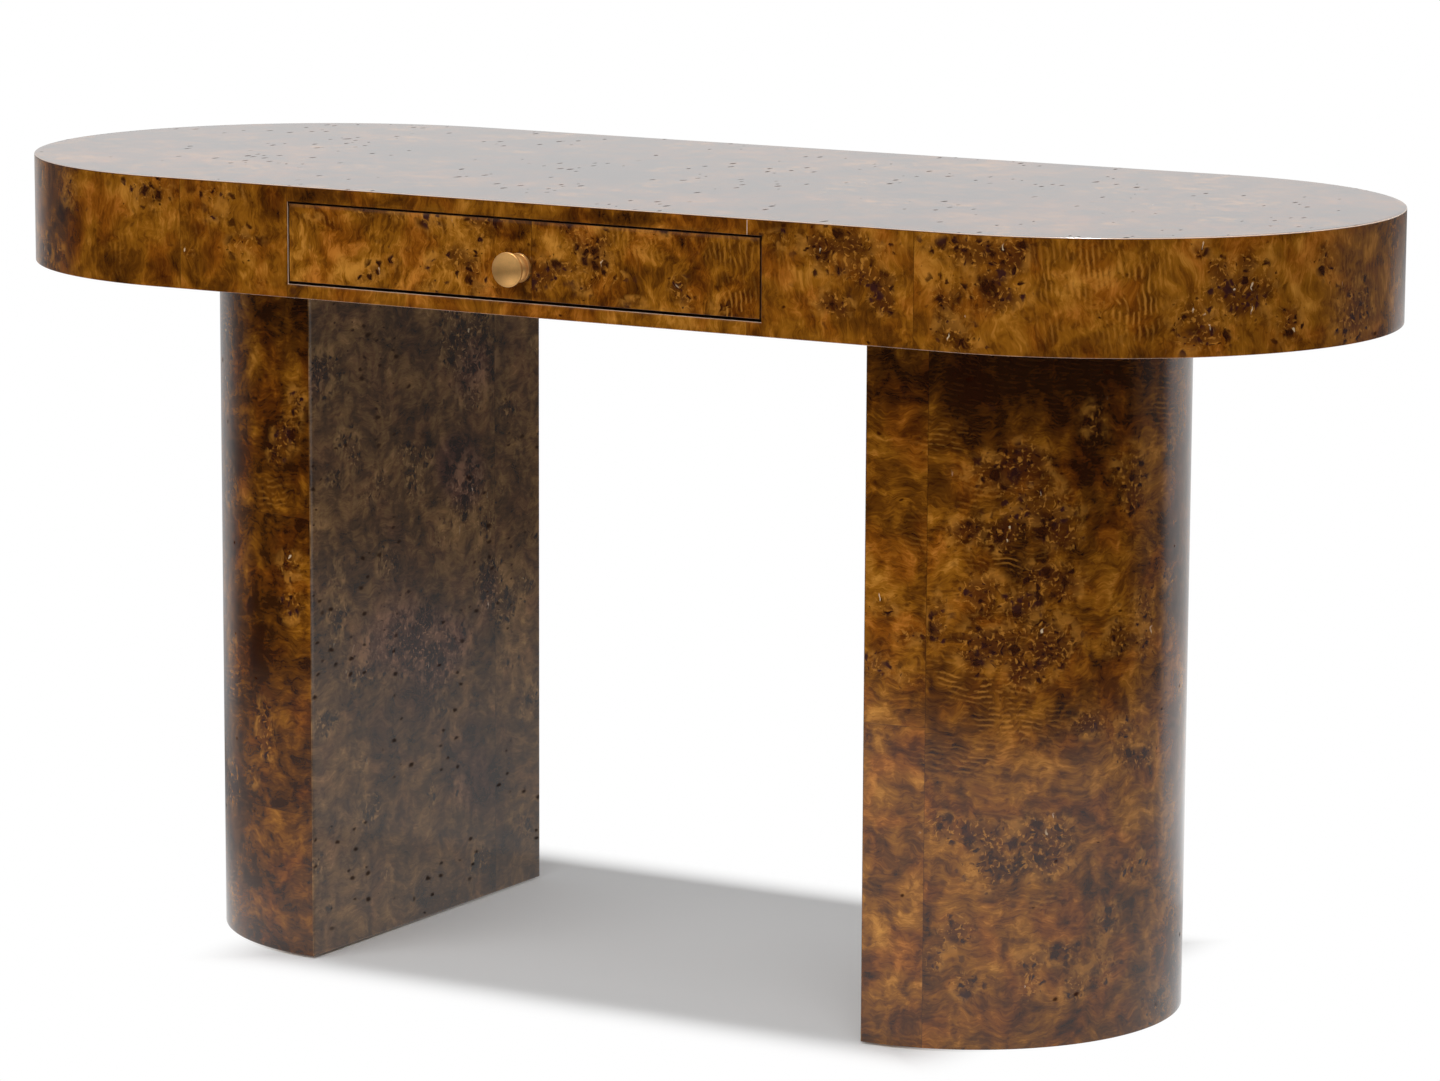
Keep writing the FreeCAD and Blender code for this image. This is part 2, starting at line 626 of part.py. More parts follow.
def make_drawer_screws():
    """Screw that holds the knob, and screws that hold the face to the drawer box."""
    head, shank = "knob_screw_head / 2", "knob_screw_diameter / 2"
    tip = "knob_screw_head_height + box_wall + face_core + veneer_thickness + knob_thread_depth"
    outline = [("0", "0"), (head, "0"), (head, "knob_screw_head_height"),
               (shank, "knob_screw_head_height"), (shank, tip), ("0", tip)]
    knob_screw = turned("knob_screw", outline)[0]
    put(knob_screw, "drawer_offset", "face_back + box_wall + knob_screw_head_height", "knob_z", FORWARD)

    face_screw = countersunk_screw("face_screw", "face_screw_length")
    heights = ("bottom_low + bottom_ply + face_screw_inset", "box_top - face_screw_inset")
    places = [(f"drawer_offset + {side.sign} * face_screw_x", "face_back + box_wall", height)
              for side in SIDES for height in heights]
    face_screws = copies("drawer_face_screws", face_screw, places, FORWARD)
    pieces.extend((knob_screw, face_screws))
    return knob_screw, face_screws


def make_drawer_face(knob_screw, face_screws):
    """Drawer face and its veneer."""
    sheet_body = doc.addObject("PartDesign::Body", "face_sheet")
    sketch = new_sketch(sheet_body, "XZ_Plane")
    half_tall = "(face_top - face_bottom) / 2"
    polygon(sketch, [("-face_half", f"-{half_tall}"), ("face_half", f"-{half_tall}"),
                     ("face_half", half_tall), ("-face_half", half_tall)])
    sheet_pad = pad(sheet_body, sketch, "veneer_thickness", backwards=True)
    eased(sheet_body, sheet_pad, "arris", lambda point: same(point.y, 0))
    put(sheet_body, "drawer_offset", "-end_radius", "(face_bottom + face_top) / 2")
    width = on_side(1, ("-face_half", "face_half"), "drawer_offset")
    blank = board("face_blank", width, ("-core_radius", "face_back"), ("face_bottom", "face_top"))
    pieces.append(cut("drawer_face_veneer", sheet_body, knob_screw))
    pieces.append(cut("drawer_face", blank, knob_screw, face_screws))


def make_drawer_box(knob_screw, face_screws, inner_screws):
    """Sub-front, sides, back and bottom of the drawer."""
    height = ("box_bottom", "box_top")
    inside = on_side(1, ("-box_inside", "box_inside"), "drawer_offset")
    grooved = on_side(1, ("-box_inside - groove_depth", "box_inside + groove_depth"), "drawer_offset")
    bottom = board("drawer_bottom", grooved, ("face_back + box_wall - groove_depth", "box_back"),
                   ("bottom_low", "bottom_low + bottom_ply"))
    sub_front = board("sub_front_blank", inside, ("face_back", "face_back + box_wall"), height)
    pieces.append(cut("drawer_sub_front", sub_front, bottom, knob_screw, face_screws))
    for side in SIDES:
        wall = on_side(side.sign, ("box_inside", "box_half"), "drawer_offset")
        blank = board(f"drawer_{side.name}_blank", wall, ("face_back", "box_back"), height)
        pieces.append(cut(f"drawer_{side.name}_side", blank, bottom, inner_screws))
    back = board("drawer_back", inside, ("box_back - box_wall", "box_back"),
                 ("bottom_low + bottom_ply", "box_top"))
    pieces.extend((bottom, back))


def at_radius(diameter):
    """Test for points of a turned piece that lie on a cylinder about its axis."""
    return lambda point: same((point.x ** 2 + point.z ** 2) ** 0.5, value(diameter) / 2)


def make_knob(knob_screw):
    """Turned knob: a foot, a waisted neck and a slightly domed head."""
    foot, neck, head = "knob_foot / 2", "knob_neck / 2", "knob_diameter / 2"
    head_back = "knob_reach - knob_crown - knob_rim"
    outline = [("0", "0"), (foot, "0"), (foot, "knob_foot_height"), (neck, "knob_foot_height"),
               (neck, head_back), (head, head_back), (head, "knob_reach - knob_crown"), ("0", "knob_reach")]
    dome = len(outline) - 2
    knob, turning = turned("knob_blank", outline, crowned=dome)
    hollowed = eased(knob, turning, "knob_neck_round", at_radius("knob_neck"))
    rimmed = eased(knob, hollowed, "knob_rim_round", at_radius("knob_diameter"))
    on_foot = at_radius("knob_foot")
    eased(knob, rimmed, "knob_foot_round",
          lambda point: on_foot(point) and same(point.y, value("knob_foot_height")))
    put(knob, "drawer_offset", "-end_radius", "knob_z", FORWARD)
    pieces.append(cut("knob", knob, knob_screw))


def slide_screws(label, screw, sign_in, distance):
    """Three screws on each slide, pointing away from (-1) or into (1) the drawer."""
    groups = []
    for side in SIDES:
        x = f"drawer_offset + {side.sign} * (opening_half - ({distance}))"
        places = [(x, f"slide_front + {y}", "slide_z")
                  for y in ("slide_screw_inset", "inner_length / 2", "inner_length - slide_screw_inset")]
        groups.append(copies(f"{side.name}_{label}", screw, places, TO_SIDE[-side.sign * sign_in]))
    return gathered(label, groups)


def slide_section(side, upper):
    """Closed section from its upper half, given as distances out from the divider and up."""
    lower = [(out, f"-({up})") for out, up in reversed(upper)]
    return [(f"{-side.sign} * ({out})", up) for out, up in lower + upper]


def set_slide(side, piece, y="slide_front"):
    """Hang a rolled piece beside the divider on that side."""
    put(piece, f"drawer_offset + {side.sign} * opening_half", y, "slide_z")
    return piece


def make_outer_member(side, screws):
    """Outer member, screwed to the divider, with a stop tab at its front end."""
    top, lip = "slide_height / 2", "slide_height / 2 - slide_lip"
    floor, lip_side = "slide_height / 2 - slide_steel", "outer_tip - slide_steel"
    upper = [("slide_steel", floor), (lip_side, floor), (lip_side, lip), ("outer_tip", lip),
             ("outer_tip", top), ("0", top)]
    member = rolled(f"{side.name}_outer_channel", slide_section(side, upper), "slide_length")
    tab = [("cage_web", "stop_tab_height / 2"), ("slide_steel", "stop_tab_height / 2")]
    end_tab(member, slide_section(side, tab), "stop_tab")
    pieces.append(cut(f"{side.name}_outer_slide", set_slide(side, member), screws))


def make_inner_member(side, screws):
    """Inner member, screwed to the drawer side, with a stop tab at its back end."""
    web, edge = "slide_gap - slide_steel", "inner_half - slide_steel"
    upper = [(web, edge), ("inner_tip", edge), ("inner_tip", "inner_half"), ("slide_gap", "inner_half")]
    member = rolled(f"{side.name}_inner_channel", slide_section(side, upper), "inner_length")
    tab = [(web, edge), ("cage_near", edge)]
    end_tab(member, slide_section(side, tab), "stop_tab", "inner_length - stop_tab")
    pieces.append(cut(f"{side.name}_inner_slide", set_slide(side, member), screws))


def make_ball_cage(side):
    """Cage that runs between the members, with its two rows of balls."""
    flange = "cage_half - cage_steel"
    upper = [("cage_web", flange), ("cage_tip", flange), ("cage_tip", "cage_half"),
             ("cage_near", "cage_half")]
    strip = rolled(f"{side.name}_cage_strip", slide_section(side, upper), "cage_length")
    set_slide(side, strip, "slide_front + cage_start")
    stations = int((value("cage_length") - 2 * value("ball_margin")) / value("ball_pitch")) + 1
    x = f"drawer_offset + {side.sign} * (opening_half - ball_out)"
    holes, balls = [], []
    for station in range(stations):
        y = f"slide_front + cage_start + ball_margin + {station} * ball_pitch"
        holes.append(rod(f"{side.name}_ball_hole", "ball_size / 2 + ball_play",
                         "2 * cage_half + 2 * overrun", x, y, "slide_z - cage_half - overrun"))
        balls.extend(make_ball(side, x, y, f"slide_z + {way} * ball_up") for way in (-1, 1))
    pieces.append(cut(f"{side.name}_ball_cage", strip, *holes))
    pieces.append(gathered(f"{side.name}_cage_balls", balls))


def make_ball(side, x, y, z):
    """One ball of a cage."""
    ball = doc.addObject("Part::Sphere", f"{side.name}_ball")
    ball.setExpression("Radius", bind("ball_size / 2"))
    put(ball, x, y, z)
    return ball


def make_bumpers():
    """Rubber stops at the back ends of the outer members."""
    bumpers = []
    for side in SIDES:
        divider = f"drawer_offset + {side.sign} * opening_half"
        across = on_side(-side.sign, ("slide_steel", "slide_steel + bumper_width"), divider)
        bumpers.append(board(f"{side.name}_bumper", across, ("box_back - bumper_length", "box_back"),
                             ("slide_z - bumper_height / 2", "slide_z + bumper_height / 2")))
    pieces.append(gathered("slide_bumpers", bumpers))


def make_bolt():
    """Hexagon bolt that draws a leg up to the underside panel."""
    head = doc.addObject("Part::Prism", "bolt_head")
    head.Polygon = 6
    head.setExpression("Circumradius", bind("bolt_head_width / 3 ^ 0.5"))
    head.setExpression("Height", bind("bolt_head_height"))
    shank = doc.addObject("Part::Cylinder", "bolt_shank")
    shank.setExpression("Radius", bind("bolt_diameter / 2"))
    grip = "washer_height + block_core + underside_core + tee_flange_height + bolt_end"
    shank.setExpression("Height", bind(f"bolt_head_height + {grip}"))
    whole = doc.addObject("Part::Fuse", "leg_bolt")
    whole.Base = head
    whole.Tool = shank
    return whole


def make_washer():
    """Flat washer under a bolt's head."""
    hole, rim = "(bolt_diameter + washer_clearance) / 2", "washer_diameter / 2"
    return turned("washer", [(hole, "0"), (rim, "0"), (rim, "washer_height"), (hole, "washer_height")])[0]


def make_tee_nut():
    """Tee nut: a barrel under a flange."""
    bore, barrel, flange = "bolt_diameter / 2", "tee_barrel_diameter / 2", "tee_flange_diameter / 2"
    top = "tee_barrel_length + tee_flange_height"
    return turned("tee_nut", [(bore, "0"), (barrel, "0"), (barrel, "tee_barrel_length"),
                              (flange, "tee_barrel_length"), (flange, top), (bore, top)])[0]


def make_glide():
    """Nylon glide with a bevelled foot and a nail."""
    flat, rim, nail = "glide_diameter * glide_flat_share / 2", "glide_diameter / 2", "glide_nail_diameter / 2"
    tip = "glide_height + glide_nail_length"
    return turned("glide", [("0", "0"), (flat, "0"), (rim, "glide_height"), (nail, "glide_height"),
                            (nail, tip), ("0", tip)])[0]


bolt = make_bolt()
washer = make_washer()
tee_nut = make_tee_nut()
glide = make_glide()
slide_screw = countersunk_screw("slide_screw", "slide_screw_length")
outer_slide_screws = slide_screws("outer_slide_screws", slide_screw, -1, "slide_steel")
inner_slide_screws = slide_screws("inner_slide_screws", slide_screw, 1, "slide_gap - slide_steel")
pieces.extend((outer_slide_screws, inner_slide_screws))

make_top_box(outer_slide_screws)
make_underside()
drawer_screws = make_drawer_screws()
make_drawer_face(*drawer_screws)
make_drawer_box(*drawer_screws, inner_slide_screws)
make_knob(drawer_screws[0])
make_bumpers()
for each_side in SIDES:
    make_leg_walls(each_side)
    make_leg_fasteners(each_side)
    make_leg_blocks(each_side)
    make_leg_battens(each_side)
    make_outer_member(each_side, outer_slide_screws)
    make_inner_member(each_side, inner_slide_screws)
    make_ball_cage(each_side)
doc.recompute()

failed = [item.Label for item in doc.Objects if {"Invalid", "Error"} & set(item.State)]
failed += [piece.Label for piece in pieces if piece.Shape.isNull() or not piece.Shape.isValid()]
if failed:
    raise RuntimeError(f"these objects failed: {failed}")
os.makedirs("parts", exist_ok=True)
for piece in pieces:
    piece.Shape.exportStep(f"parts/{piece.Label}.step")
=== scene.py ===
"""Finishes a racetrack writing desk: burl veneers, turned knob, boards, hardware and a studio stage."""
import json
import math

import bpy
import numpy as np
from bpy.props import FloatProperty, FloatVectorProperty, IntProperty, PointerProperty
from mathutils import Matrix, Vector


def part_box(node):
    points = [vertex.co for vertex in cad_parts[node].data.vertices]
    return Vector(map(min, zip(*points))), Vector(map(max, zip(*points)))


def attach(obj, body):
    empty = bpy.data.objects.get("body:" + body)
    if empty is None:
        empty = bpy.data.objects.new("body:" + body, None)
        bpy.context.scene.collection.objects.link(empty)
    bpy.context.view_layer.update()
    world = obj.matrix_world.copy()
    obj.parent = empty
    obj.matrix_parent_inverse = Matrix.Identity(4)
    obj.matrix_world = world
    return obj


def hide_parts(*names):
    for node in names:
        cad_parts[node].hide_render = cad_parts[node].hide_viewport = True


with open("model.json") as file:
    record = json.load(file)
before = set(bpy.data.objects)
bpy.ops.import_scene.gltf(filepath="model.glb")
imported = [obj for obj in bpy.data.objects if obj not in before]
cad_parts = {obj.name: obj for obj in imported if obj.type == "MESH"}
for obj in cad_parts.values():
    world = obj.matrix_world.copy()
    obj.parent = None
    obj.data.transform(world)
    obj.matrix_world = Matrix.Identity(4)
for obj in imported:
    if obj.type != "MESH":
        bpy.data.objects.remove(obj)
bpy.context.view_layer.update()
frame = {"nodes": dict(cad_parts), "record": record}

bl_info = {
    "name": "Racetrack Desk Finishes",
    "version": (1, 0, 0),
    "blender": (4, 5, 0),
    "location": "3D View > Sidebar > Desk",
    "description": "Veneers, knob, boards, hardware and studio stage for a racetrack desk",
    "category": "Object",
}

MM = 0.001
NEAR = 0.01 * MM
SIDES = (("left", -1), ("right", 1))


def display(*shown):
    """Scene-linear colour of a display colour given in the range 0 to 255."""
    shown = np.array(shown) / 255
    return tuple(np.where(shown > 0.04045, ((shown + 0.055) / 1.055) ** 2.4, shown / 12.92).tolist())


def colour(name, description, *shown):
    """Colour property whose default is a display colour."""
    return FloatVectorProperty(name=name, description=description, subtype="COLOR", size=3,
                               min=0, max=1, default=display(*shown))


def length(name, description, default, least=0.0):
    """Length property in metres."""
    return FloatProperty(name=name, description=description, subtype="DISTANCE", unit="LENGTH",
                         min=least, precision=4, default=default)


def share(name, description, default):
    """Plain factor property."""
    return FloatProperty(name=name, description=description, subtype="FACTOR", min=0, max=1, default=default)


def angle(name, description, degrees):
    """Angle property."""
    return FloatProperty(name=name, description=description, subtype="ANGLE", unit="ROTATION",
                         default=math.radians(degrees))


def strength(name, description, default):
    """Brightness property of a light."""
    return FloatProperty(name=name, description=description, min=0, default=default)


def spot(name, description, *default):
    """Place property in metres."""
    return FloatVectorProperty(name=name, description=description, subtype="TRANSLATION", unit="LENGTH",
                               default=default)


class DeskVeneerSettings(bpy.types.PropertyGroup):
    """Burl veneer and its lacquer."""
    umber: colour("Umber", "Darkest ground of the burl", 46, 20, 2)
    brown: colour("Brown", "Middle ground of the burl", 92, 51, 6)
    amber: colour("Amber", "Warm ground of the burl", 132, 81, 14)
    gold: colour("Gold", "Palest ground and flame of the burl", 182, 122, 44)
    russet: colour("Russet", "Warm cast over parts of the ground", 152, 71, 28)
    plum: colour("Plum", "Wash of the ground among the knots", 66, 30, 9)
    eye: colour("Eye", "Heart of the burl's small knots", 44, 16, 3)
    violet: colour("Violet", "Cast of some of the knots", 47, 22, 20)
    # Painted reflection haze on the faces inside the kneehole: an olive grey sheen, violet grey on their dark
    # patches.
    sheen: colour("Sheen", "Olive grey that dulls the faces inside the kneehole", 78, 67, 48)
    mauve: colour("Mauve", "Violet grey of the dark patches inside the kneehole", 76, 60, 58)
    glint: colour("Glint", "Specks of light in the knots", 220, 196, 158)
    # Seam colour: the dark line where two leaves meet, also used as painted shade on veneer edges that face
    # away from the upper right and on all edges of the drawer front.
    seam: colour("Seam", "Line where two leaves meet", 40, 20, 8)
    # Painted highlight on veneer edges that face up and right and along the apron's lower edge; the same pale
    # colour marks the pale seam over the drawer.
    edge_light_and_pale_seam: colour("Rubbed Edge", "Veneer edges where the stain is rubbed thin", 226, 196, 172)
    gloss: share("Lacquer Roughness", "Roughness of the lacquer", 0.13)
    relief: length("Lacquer Relief", "Height of the soft waves in the lacquer", 0.25 * MM)
    relief_share: share("Relief Strength", "How far the soft waves show", 0.35)
    seam_width: length("Seam Width", "Width of the line where two leaves meet", 1.0 * MM)
    arris_share: share("Eased Edge", "Rounding of a veneer edge as a share of its thickness", 0.7)
    step: length("Mesh Step", "Distance between the points of a veneer's mesh", 5 * MM)
    seed: IntProperty(name="Figure Seed", description="Seed of the knots out of the main view", default=7)


class DeskKnobSettings(bpy.types.PropertyGroup):
    """Turned brass knob."""
    brass: colour("Brass", "Satin brass", 232, 177, 107)
    roughness: share("Roughness", "Roughness of the satin brass", 0.45)
    foot_share: share("Foot Diameter", "Foot diameter as a share of the head", 0.844)
    neck_share: share("Neck Diameter", "Neck diameter as a share of the head", 0.4375)
    foot_height_share: share("Foot Height", "Foot height as a share of the reach", 0.16)
    rim_share: share("Head Rim", "Height of the head's rim as a share of the reach", 0.15)
    crown_share: share("Head Crown", "Height of the head's dome as a share of the reach", 0.17)
    sides: IntProperty(name="Sides", description="Steps round the knob", default=96, min=12)


class DeskBoardSettings(bpy.types.PropertyGroup):
    """Boards, metal and plastic behind the veneers."""
    fibreboard: colour("Fibreboard", "Pressed fibre core", 158, 126, 88)
    # The same dark sealer is painted on the drawer face's core and the front rails as shade in the gap round
    # the drawer.
    sealed: colour("Sealed Board", "Brown sealer under the top", 62, 40, 26)
    bent_ply: colour("Bent Plywood", "Curved cores of the legs and ends", 176, 138, 92)
    birch: colour("Birch", "Lacquered birch of the drawer box", 206, 174, 128)
    steel: colour("Zinc Steel", "Bright zinc on slides and screws", 176, 178, 180)
    ball: colour("Bearing Steel", "Polished balls", 200, 202, 206)
    rubber: colour("Rubber", "Soft stops of the slides", 34, 33, 32)
    nylon: colour("Nylon", "Glides under the legs", 214, 208, 196)


class DeskStageSettings(bpy.types.PropertyGroup):
    """Floor, light and camera."""
    floor: colour("Floor", "Pale floor", 244, 244, 244)
    floor_radius: length("Floor Radius", "Radius of the round floor", 1.9)
    floor_back: length("Floor Setback", "How far behind the desk the floor is centred", 0.2)
    shadow_half: length("Shadow Half Length", "Half length of the full shadow between the legs", 0.32)
    shadow_front: length("Shadow Front", "Where the full shadow ends in front", -0.17, least=-1.0)
    shadow_back: length("Shadow Back", "Where the full shadow ends behind", 0.25)
    shadow_soft: length("Shadow Edge", "Width over which the shadow fades to the white floor", 0.11)
    shadow_lift: share("Shadow Lift", "How far the shadow's back part is lightened", 0.16)
    shadow_gloss: share("Mirrored Shadow", "How much of the bright floor gloss sees in the shadow", 0.55)
    pool: spot("Lit Pool", "Middle of the floor that gloss sees as white", 0.45, -0.4, 0.0)
    pool_near: length("Pool Start", "Distance at which the mirrored floor starts to dim", 0.9)
    pool_far: length("Pool End", "Distance at which the mirrored floor is dim", 2.6)
    pool_dim: share("Pool Dim", "Brightness of the mirrored floor far from the pool", 0.2)
    pool_back: share("Pool Back", "Brightness of the mirrored floor behind the desk", 0.7)
    pool_left: share("Pool Left", "Brightness of the mirrored floor on the left", 0.5)
    overhead: strength("Overhead", "Strength of the light from above", 2.2)
    overhead_height: angle("Overhead Height", "Height of the light from above", 87)
    overhead_spread: angle("Overhead Spread", "Softness of the light from above", 10)
    fill: strength("Fill", "Strength of the light from the front", 1.7)
    fill_height: angle("Fill Height", "Height of the light from the front", 42)
    fill_side: angle("Fill Side", "Turn of the front light towards the right", 2)
    fill_spread: angle("Fill Spread", "Softness of the front light", 70)
    right_strip: strength("Right Strip", "Brightness of the right softbox", 0.58)
    right_strip_place: spot("Right Strip Place", "Middle of the right softbox", 0.53, 0.5, 0.34)
    right_strip_width: length("Right Strip Width", "Width of the right softbox", 0.66)
    left_strip: strength("Left Strip", "Brightness of the left softbox", 0.39)
    left_strip_place: spot("Left Strip Place", "Middle of the left softbox", -1.1, 0.52, 0.34)
    left_strip_width: length("Left Strip Width", "Width of the left softbox", 1.3)
    left_strip_fade: share("Left Strip Fade", "Share of the left softbox over which its top fades", 0.08)
    strip_height: length("Strip Height", "Height of both softboxes", 0.82)
    strip_fade: share("Strip Fade", "Share of a softbox over which its edges fade", 0.25)
    room: strength("Room", "Even light from the room", 0.3)
    room_low: strength("Low Room", "What gloss sees below the horizon", 0.02)
    room_high: strength("High Room", "What gloss sees above the horizon", 0.28)
    backdrop_low: strength("Low Backdrop", "What the backdrop adds below the horizon", 0.12)
    backdrop_high: strength("High Backdrop", "What the backdrop adds above the horizon", 0.65)
    camera: spot("Camera", "Place of the camera", 2.7544, -4.5603, 1.3226)
    heading: angle("Heading", "Turn of the camera to the left of straight back", 30.774)
    pitch: angle("Pitch", "Tilt of the camera below level", 9.7)
    roll: angle("Roll", "Lean of the camera", 0.258)
    lens: FloatProperty(name="Lens", description="Focal length on a 36 mm wide sensor",
                        subtype="DISTANCE_CAMERA", default=140.96)


# Figure of the burl, given for each veneer: (along, up, reach along, reach up, weight), in
# millimetres. Along runs round the apron and across the drawer from the front middle of the desk, round a
# leg from its front corner, and across a flat leg face from its middle.
APRON_EYES = (
    (-430, 745, 25, 14, .8), (-345, 750, 30, 10, .5), (-350, 728, 18, 8, .4), (-320, 705, 22, 16, .5),
    (-385, 695, 10, 10, .4), (-295, 670, 12, 8, .3), (-545, 740, 20, 20, .4), (-570, 675, 14, 14, .4),
    (260, 745, 20, 10, .3), (303, 735, 10, 14, .9), (330, 745, 40, 14, .8), (345, 720, 35, 10, .6),
    (312, 692, 16, 10, .8), (325, 688, 10, 8, .8), (365, 705, 14, 14, .9), (370, 694, 8, 8, .8),
    (440, 748, 30, 12, .7), (470, 745, 25, 14, .7), (494, 745, 8, 14, 1), (430, 708, 14, 14, .9),
    (480, 708, 22, 14, .9), (470, 722, 14, 10, .6), (435, 675, 20, 14, .5), (450, 665, 14, 6, .5),
    (655, 752, 8, 8, .8), (675, 735, 12, 10, .9), (700, 740, 10, 8, .7), (690, 715, 22, 14, .9),
    (700, 700, 14, 10, .9), (660, 700, 30, 20, .4), (645, 680, 14, 20, .5), (668, 675, 16, 10, .6),
    (720, 725, 14, 20, .5), (745, 683, 16, 16, .8), (790, 735, 14, 16, .7),
)
APRON_TONES = (
    (-430, 700, 50, 40, .12), (-480, 690, 40, 40, -.1), (-550, 700, 30, 50, -.3), (-330, 700, 30, 40, .15),
    (-290, 710, 14, 40, -.35), (400, 720, 20, 50, .25), (450, 700, 20, 20, .4), (430, 680, 15, 25, -.4),
    (560, 720, 50, 40, .35), (750, 740, 30, 30, .2), (-235, 755, 40, 8, -.9), (-150, 755, 25, 6, -.5),
    (100, 755, 50, 7, -.7), (-40, 755, 80, 6, .2), (0, 663, 240, 5, .25), (770, 710, 40, 60, .4),
    (-580, 710, 40, 60, -.25),
)
APRON_FLAMES = (
    (275, 715, 14, 20, .7), (525, 725, 20, 25, .5), (560, 735, 35, 25, .9), (590, 700, 25, 30, .9),
    (610, 720, 14, 40, .6), (440, 712, 20, 14, .5), (520, 680, 25, 12, .5), (-370, 725, 20, 14, .4),
    (-470, 700, 10, 30, .4),
)
DRAWER_EYES = (
    (-185, 743, 12, 5, .6), (-145, 742, 12, 5, .5), (-105, 738, 20, 8, .5), (-60, 742, 20, 6, .8),
    (-35, 743, 8, 6, .8), (-240, 735, 10, 4, .5), (-170, 688, 8, 10, .8), (-153, 698, 6, 6, .8),
    (-185, 680, 10, 8, .5), (-110, 700, 12, 10, .5), (-80, 708, 14, 14, .8), (-65, 695, 10, 10, .8),
    (-50, 680, 20, 8, .5), (-110, 680, 14, 6, .6), (-55, 722, 10, 14, .5), (10, 695, 14, 12, .9),
    (30, 705, 16, 12, .8), (40, 742, 8, 6, .8), (55, 730, 16, 12, .8), (80, 735, 10, 10, .7),
    (70, 712, 16, 12, .9), (90, 700, 12, 8, .5), (60, 690, 14, 8, .5), (155, 698, 8, 8, .8),
    (165, 685, 10, 10, .7), (110, 678, 14, 5, .7), (200, 680, 10, 10, .4), (140, 743, 12, 4, .6),
    (165, 742, 8, 4, .5),
)
DRAWER_TONES = (
    (-140, 710, 130, 60, .3), (-255, 685, 30, 25, .4), (-180, 700, 60, 20, .3), (-16, 727, 18, 24, -.5),
    (15, 730, 14, 16, .4), (140, 710, 40, 20, -.25), (120, 690, 30, 16, -.2), (40, 690, 40, 14, -.1),
    (210, 705, 30, 30, .2),
)
DRAWER_FLAMES = (
    (-105, 735, 18, 12, .8), (110, 738, 22, 10, 1), (120, 725, 20, 10, .7), (75, 718, 14, 10, .5),
    (210, 735, 25, 14, .8), (220, 690, 18, 20, .8), (210, 675, 16, 8, .8), (-235, 732, 25, 8, .6),
    (-150, 690, 14, 10, .5), (-60, 700, 14, 14, .6),
)
RIGHT_LEG_EYES = (
    (150, 545, 16, 16, .95), (125, 535, 34, 18, .64), (95, 480, 16, 13, .85), (130, 478, 13, 16, .85),
    (165, 500, 34, 22, .64), (185, 475, 16, 13, .85), (215, 575, 14, 20, .5), (260, 525, 21, 23, .8),
    (262, 500, 9, 12, .9), (110, 425, 18, 16, 1), (165, 440, 16, 11, .85), (190, 430, 16, 16, .85),
    (150, 415, 18, 11, .85), (70, 400, 9, 22, .74), (20, 410, 14, 10, .6), (45, 385, 14, 10, .5),
    (120, 380, 28, 16, .74), (170, 375, 28, 22, .85), (150, 350, 18, 13, .95), (105, 365, 13, 11, .85),
    (280, 400, 16, 16, .8), (285, 365, 12, 12, .8), (245, 375, 14, 16, .7), (15, 355, 14, 10, .7),
    (45, 345, 12, 8, .6), (215, 300, 16, 11, .85), (255, 285, 14, 18, .7), (280, 262, 25, 12, .8),
    (75, 210, 13, 11, .85), (110, 205, 28, 11, .85), (120, 175, 20, 22, .74), (160, 200, 13, 18, .85),
    (185, 200, 16, 16, .74), (175, 170, 25, 11, .64), (90, 112, 14, 14, 1), (70, 85, 8, 10, .7),
    (100, 62, 12, 12, .8), (160, 85, 14, 12, .6), (190, 90, 14, 10, .6), (160, 60, 10, 14, .6),
    (200, 55, 12, 12, .6), (275, 160, 23, 16, .5), (240, 115, 16, 16, .5), (230, 70, 23, 23, .4),
)
# The dark tones near the top of the right leg are partly the veneer's own tone and partly painted shadow of
# the worktop's overhang.
RIGHT_LEG_TONES_AND_SHADOW = (
    (30, 500, 30, 100, .1), (30, 250, 30, 60, .2), (30, 130, 30, 60, .22), (150, 620, 150, 35, -.7),
    (100, 580, 30, 25, -.6), (230, 560, 40, 25, -.5), (240, 450, 40, 40, .3), (230, 420, 30, 30, .3),
    (150, 400, 60, 50, -.25), (200, 340, 50, 14, .3), (170, 315, 30, 8, -.4), (220, 250, 60, 25, .15),
    (200, 215, 80, 10, -.25), (100, 140, 30, 30, .25), (180, 130, 30, 20, .25), (50, 30, 60, 25, -.3),
    (180, 610, 130, 60, -.6), (170, 480, 80, 60, -.55), (120, 180, 140, 70, -.3), (20, 620, 40, 30, -.3),
    (195, 335, 60, 50, -.45), (240, 70, 80, 70, -.3),
)
RIGHT_LEG_FLAMES = (
    (72, 562, 20, 14, .8), (110, 510, 20, 14, .6), (130, 455, 30, 10, .7), (60, 470, 30, 20, .3),
    (85, 350, 25, 12, .9), (120, 335, 30, 12, .9), (140, 305, 40, 16, .9), (100, 270, 40, 14, .6),
    (160, 380, 30, 14, .6), (270, 385, 16, 14, .6), (40, 400, 12, 12, .6), (20, 300, 20, 10, .4),
    (170, 135, 16, 10, .5), (145, 215, 30, 8, .4),
)
LEFT_LEG_EYES = (
    (15, 545, 12, 14, .6), (30, 510, 16, 14, .8), (45, 490, 10, 10, .7), (25, 385, 16, 14, .6),
    (25, 345, 12, 14, .9), (65, 225, 14, 20, .7), (60, 200, 12, 12, .6), (85, 170, 14, 14, .4),
)
LEFT_LEG_TONES = (
    (50, 560, 50, 40, .15), (80, 480, 25, 60, .2), (20, 300, 20, 60, .25), (80, 320, 20, 60, -.3),
    (30, 120, 30, 30, .3),
)
LEFT_LEG_FLAMES = ((20, 535, 12, 18, .7), (50, 450, 18, 14, .8), (15, 380, 12, 12, .6))
